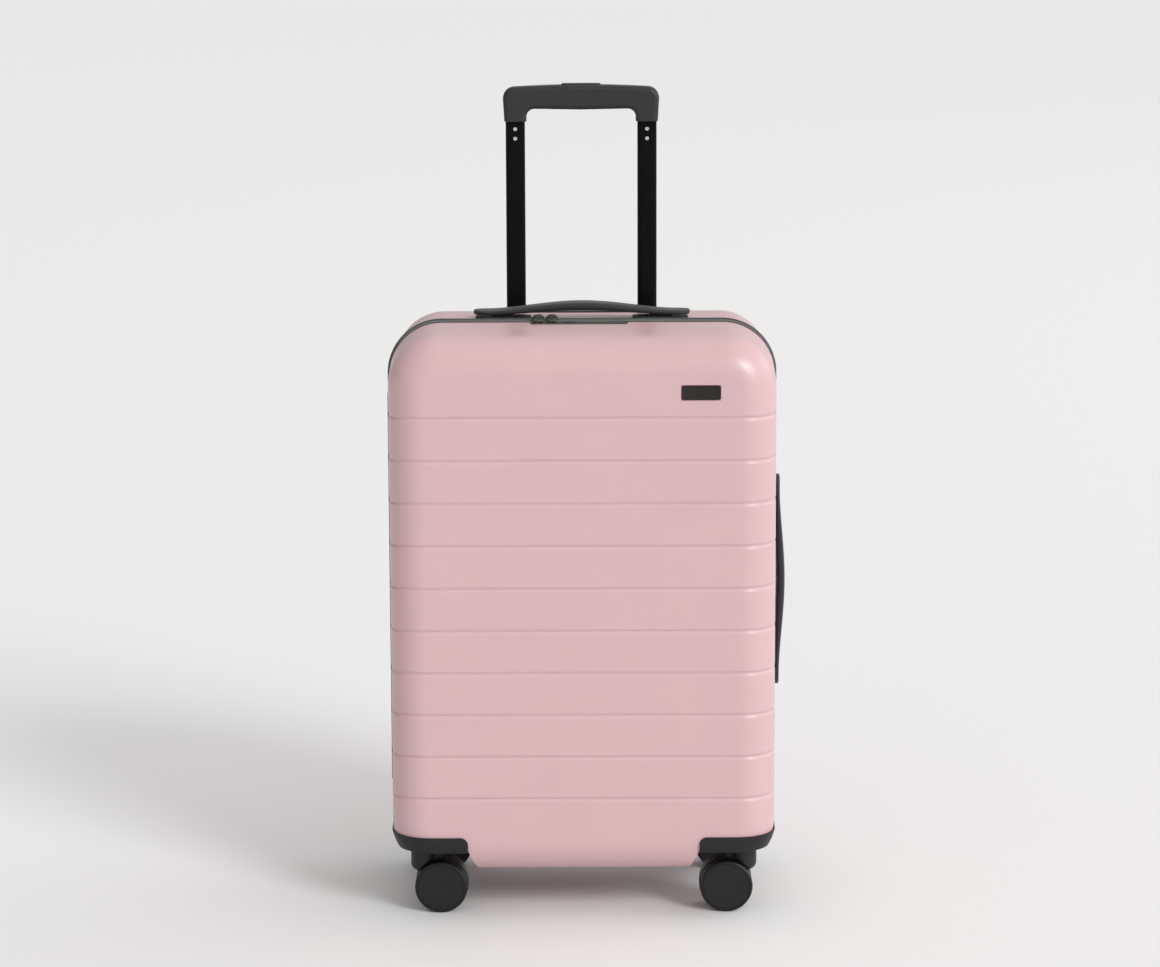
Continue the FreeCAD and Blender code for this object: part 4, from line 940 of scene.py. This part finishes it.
# %% Build the webbing
def webbing(side_x, z):
    """Flat strip along a path in plan: up the side wall, round a corner, then across with a sag
    that follows one arch of a sine. Its border is 0.2 mm thicker than its middle."""
    wall, inner, far, near, r, half_wide = 175.6, 26.5, 44.0, 14.8, 5.0, 14.8
    up = np.stack([np.full(8, wall), np.linspace(far, near + r, 8)], 1)
    q = np.linspace(0, math.pi / 2, 9)[1:-1]
    bend = np.array([wall - r, near + r]) + r * np.stack([np.cos(q), -np.sin(q)], 1)
    x = np.linspace(wall - r, inner, 46)
    t = (x - inner) / (wall - r - inner)
    across = np.stack([x, near + 1.1 * np.sin(math.pi * t) ** 2], 1)
    plan = np.concatenate([up, bend, across])
    ahead = np.gradient(plan, axis=0)
    ahead = ahead / np.hypot(*ahead.T)[:, None]
    line = np.stack([side_x * plan[:, 0], plan[:, 1], np.full(len(plan), z)], 1)
    face = np.stack([side_x * ahead[:, 1], -ahead[:, 0], np.zeros(len(plan))], 1)
    d = np.linspace(-half_wide, half_wide, 21)
    border, edge = np.abs(d) > 12.5, np.abs(np.abs(d) - half_wide) < 0.1
    thick = 0.55 + 0.12 * border - 0.25 * edge
    loop = np.concatenate([np.stack([d, thick], 1), np.stack([d, -thick], 1)[::-1]])
    walked = walk(plan)
    uv = grid_uv(walked, np.append(loop[:, 0], loop[0, 0]))
    upward = np.broadcast_to([0.0, 0.0, 1.0], line.shape)
    return swept(line, upward, face, loop), uv, walked[-1]


STRAP_RISE = 130.0    # from the middle of the case to each strap
places = [(s, z) for z in (MIDDLE + STRAP_RISE, MIDDLE - STRAP_RISE) for s in (-1, 1)]
for k, place in enumerate(places):
    belt_mesh, corners, length = webbing(*place)
    belt = mesh_object(f"packing_belt_{k + 1}", *belt_mesh, sharp=60, uv=corners, turn_out=True)
    dress(belt_weave, "webbing", belt)
    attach(belt, "rear_half")
    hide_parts("packing_straps")
print("belts:", len(places), "each", round(length), "mm long")

# %% [markdown]
# ## Badge
# A small cast plate is set into the face near its upper right corner. It is left blank. Its rim
# stands a little above a sunk field, which is what gives a plate this size its thin bright edge.


# %% Build the badge
def plate(width, height, radius, steps, turn=9):
    """Rings of a rounded rectangle, each moved in by an inset and standing at a height."""
    n = 4 * turn
    rings = [np.c_[rounded_plan(width - 2 * i, height - 2 * i, max(radius - i, 0.3), turn=turn),
                   np.full(n, h)] for i, h in steps]
    faces = grid_faces(len(steps), n, wrap_cols=True)
    faces += [list(range(n)), list(range((len(steps) - 1) * n, len(steps) * n))]
    return np.concatenate(rings), faces


badge_steps = [(0.0, -0.8), (0.0, 0.35), (0.12, 0.58), (0.35, 0.68), (0.9, 0.68), (1.15, 0.5),
               (1.3, 0.32), (1.6, 0.28), (6.0, 0.28)]
points, faces = plate(36.0, 13.4, 1.9, badge_steps)
points = points[:, [0, 2, 1]] * [1, -1, 1] + [BADGE_X, -DEPTH, BADGE_Z]
badge = mesh_object("blank_cast_badge", points, faces, sharp=40, turn_out=True)
dress(badge_enamel, "badge", badge)
stands_for(badge, "badge")
print("badge: 36 by 13.4 mm, blank")

# %% [markdown]
# ## CAD pieces that stay
# Rigid fittings keep their CAD meshes and only get a finish.

# %% Dress the rigid fittings
everywhere = [d + "_" + s for d in ("front", "rear") for s in ("left", "right")]
dress(grained_polypropylene, "guard", *["corner_guard_" + w for w in everywhere])
dress(yoke_nylon, "yoke", *["caster_" + w + "_yoke" for w in everywhere])
dress(zinc_steel, "steel", "front_fasteners", "rear_fasteners",
      *["caster_" + w + "_steel" for w in everywhere])
dress(spark_nylon, "black_plastic", "trolley_cup", "tube_foot", "grip", "grip_button",
      "top_handle_mounts", "side_handle_mounts", "strap_buckles", "lock_button")
dress(black_anodised, "black_tube", "upper_tubes")
dress(mill_aluminium, "tube_metal", "middle_tubes", "outer_tubes", "release_linkage")
dress(polished_steel, "rivet", "grip_rivets", "key_cylinder")
dress(gunmetal_zinc, "gunmetal", "lock_body", "lock_plate", "zip_slider_left", "zip_slider_right",
      "zip_pull_left", "zip_pull_right")
dress(gunmetal_zinc, "dial", "lock_dial_1", "lock_dial_2", "lock_dial_3")

# %% [markdown]
# ## Stage, light and camera
# The case stands on a plain pale floor that runs far past the view. A wide soft sun stands over the
# right shoulder, a lamp on the right lights the floor behind, and the room fills the rest, brighter
# on that side.

# %% Floor, room and lights
white_floor = finish("matt_white_floor", "E9E9E9", 0.8, grain=3.0, depth=0.0, mottle=0.0,
                     wander=0.0)
SIDEWAYS, FORWARD, BACKWARD = 40000, -20000, 60000
floor = mesh_object("studio_floor", [[-SIDEWAYS, FORWARD, 0], [SIDEWAYS, FORWARD, 0],
                                     [SIDEWAYS, BACKWARD, 0], [-SIDEWAYS, BACKWARD, 0]],
                    [[0, 1, 2, 3]])
floor.data.materials.append(white_floor)

room = bpy.data.worlds.new("studio_room")
bpy.context.scene.world = room
room.use_nodes = True
BRIGHT_SIDE = (0.80, -0.20, 0.40)
direction = add(room.node_tree, "TexCoord").outputs["Generated"]
facing = add(room.node_tree, "VectorMath", {0: direction, 1: BRIGHT_SIDE},
             operation="DOT_PRODUCT")
glow = add(room.node_tree, "MapRange", {"Value": facing.outputs["Value"], "From Min": -0.9,
                                        "From Max": 0.9, "To Min": 0.2, "To Max": 1.1})
back = room.node_tree.nodes["Background"]
back.inputs["Color"].default_value = srgb("FDFCFB")
room.node_tree.links.new(glow.outputs[0], back.inputs["Strength"])
bpy.context.scene.view_settings.view_transform = "Standard"


def lamp(name, kind, place, aim, power, **settings):
    """A lamp in metres that faces a point."""
    light = bpy.data.lights.new(name, kind)
    light.energy = power
    for key, value in settings.items():
        setattr(light, key, value)
    held = bpy.data.objects.new(name, light)
    held.location = place
    held.rotation_euler = (Vector(aim) - Vector(place)).to_track_quat("-Z", "Y").to_euler()
    bpy.context.scene.collection.objects.link(held)


lamp("key", "SUN", (2.5, -2.9, 2.4), (0, 0, 0.3), 1.55, angle=math.radians(20))
lamp("side_bank", "AREA", (7.0, 3.0, 3.5), (2.0, 3.0, 0), 60, shape="RECTANGLE", size=5.0,
     size_y=3.0)

# %% Camera
SENSOR, FOCUS_IN_WIDTHS = 36.0, 3712.7 / 1160    # millimetres, and widths of the frame
LOOK_DOWN, ROLL = 0.1758, -0.0036                # radians
STAND = (-0.0023, -3.50007, 1.0202)              # metres
lens = bpy.data.cameras.new("studio_camera")
lens.sensor_width, lens.lens = SENSOR, SENSOR * FOCUS_IN_WIDTHS
camera = bpy.data.objects.new("studio_camera", lens)
tilt = Matrix.Rotation(math.pi / 2 - LOOK_DOWN, 4, "X") @ Matrix.Rotation(ROLL, 4, "Z")
camera.matrix_world = Matrix.Translation(STAND) @ tilt
bpy.context.scene.collection.objects.link(camera)
bpy.context.scene.camera = camera
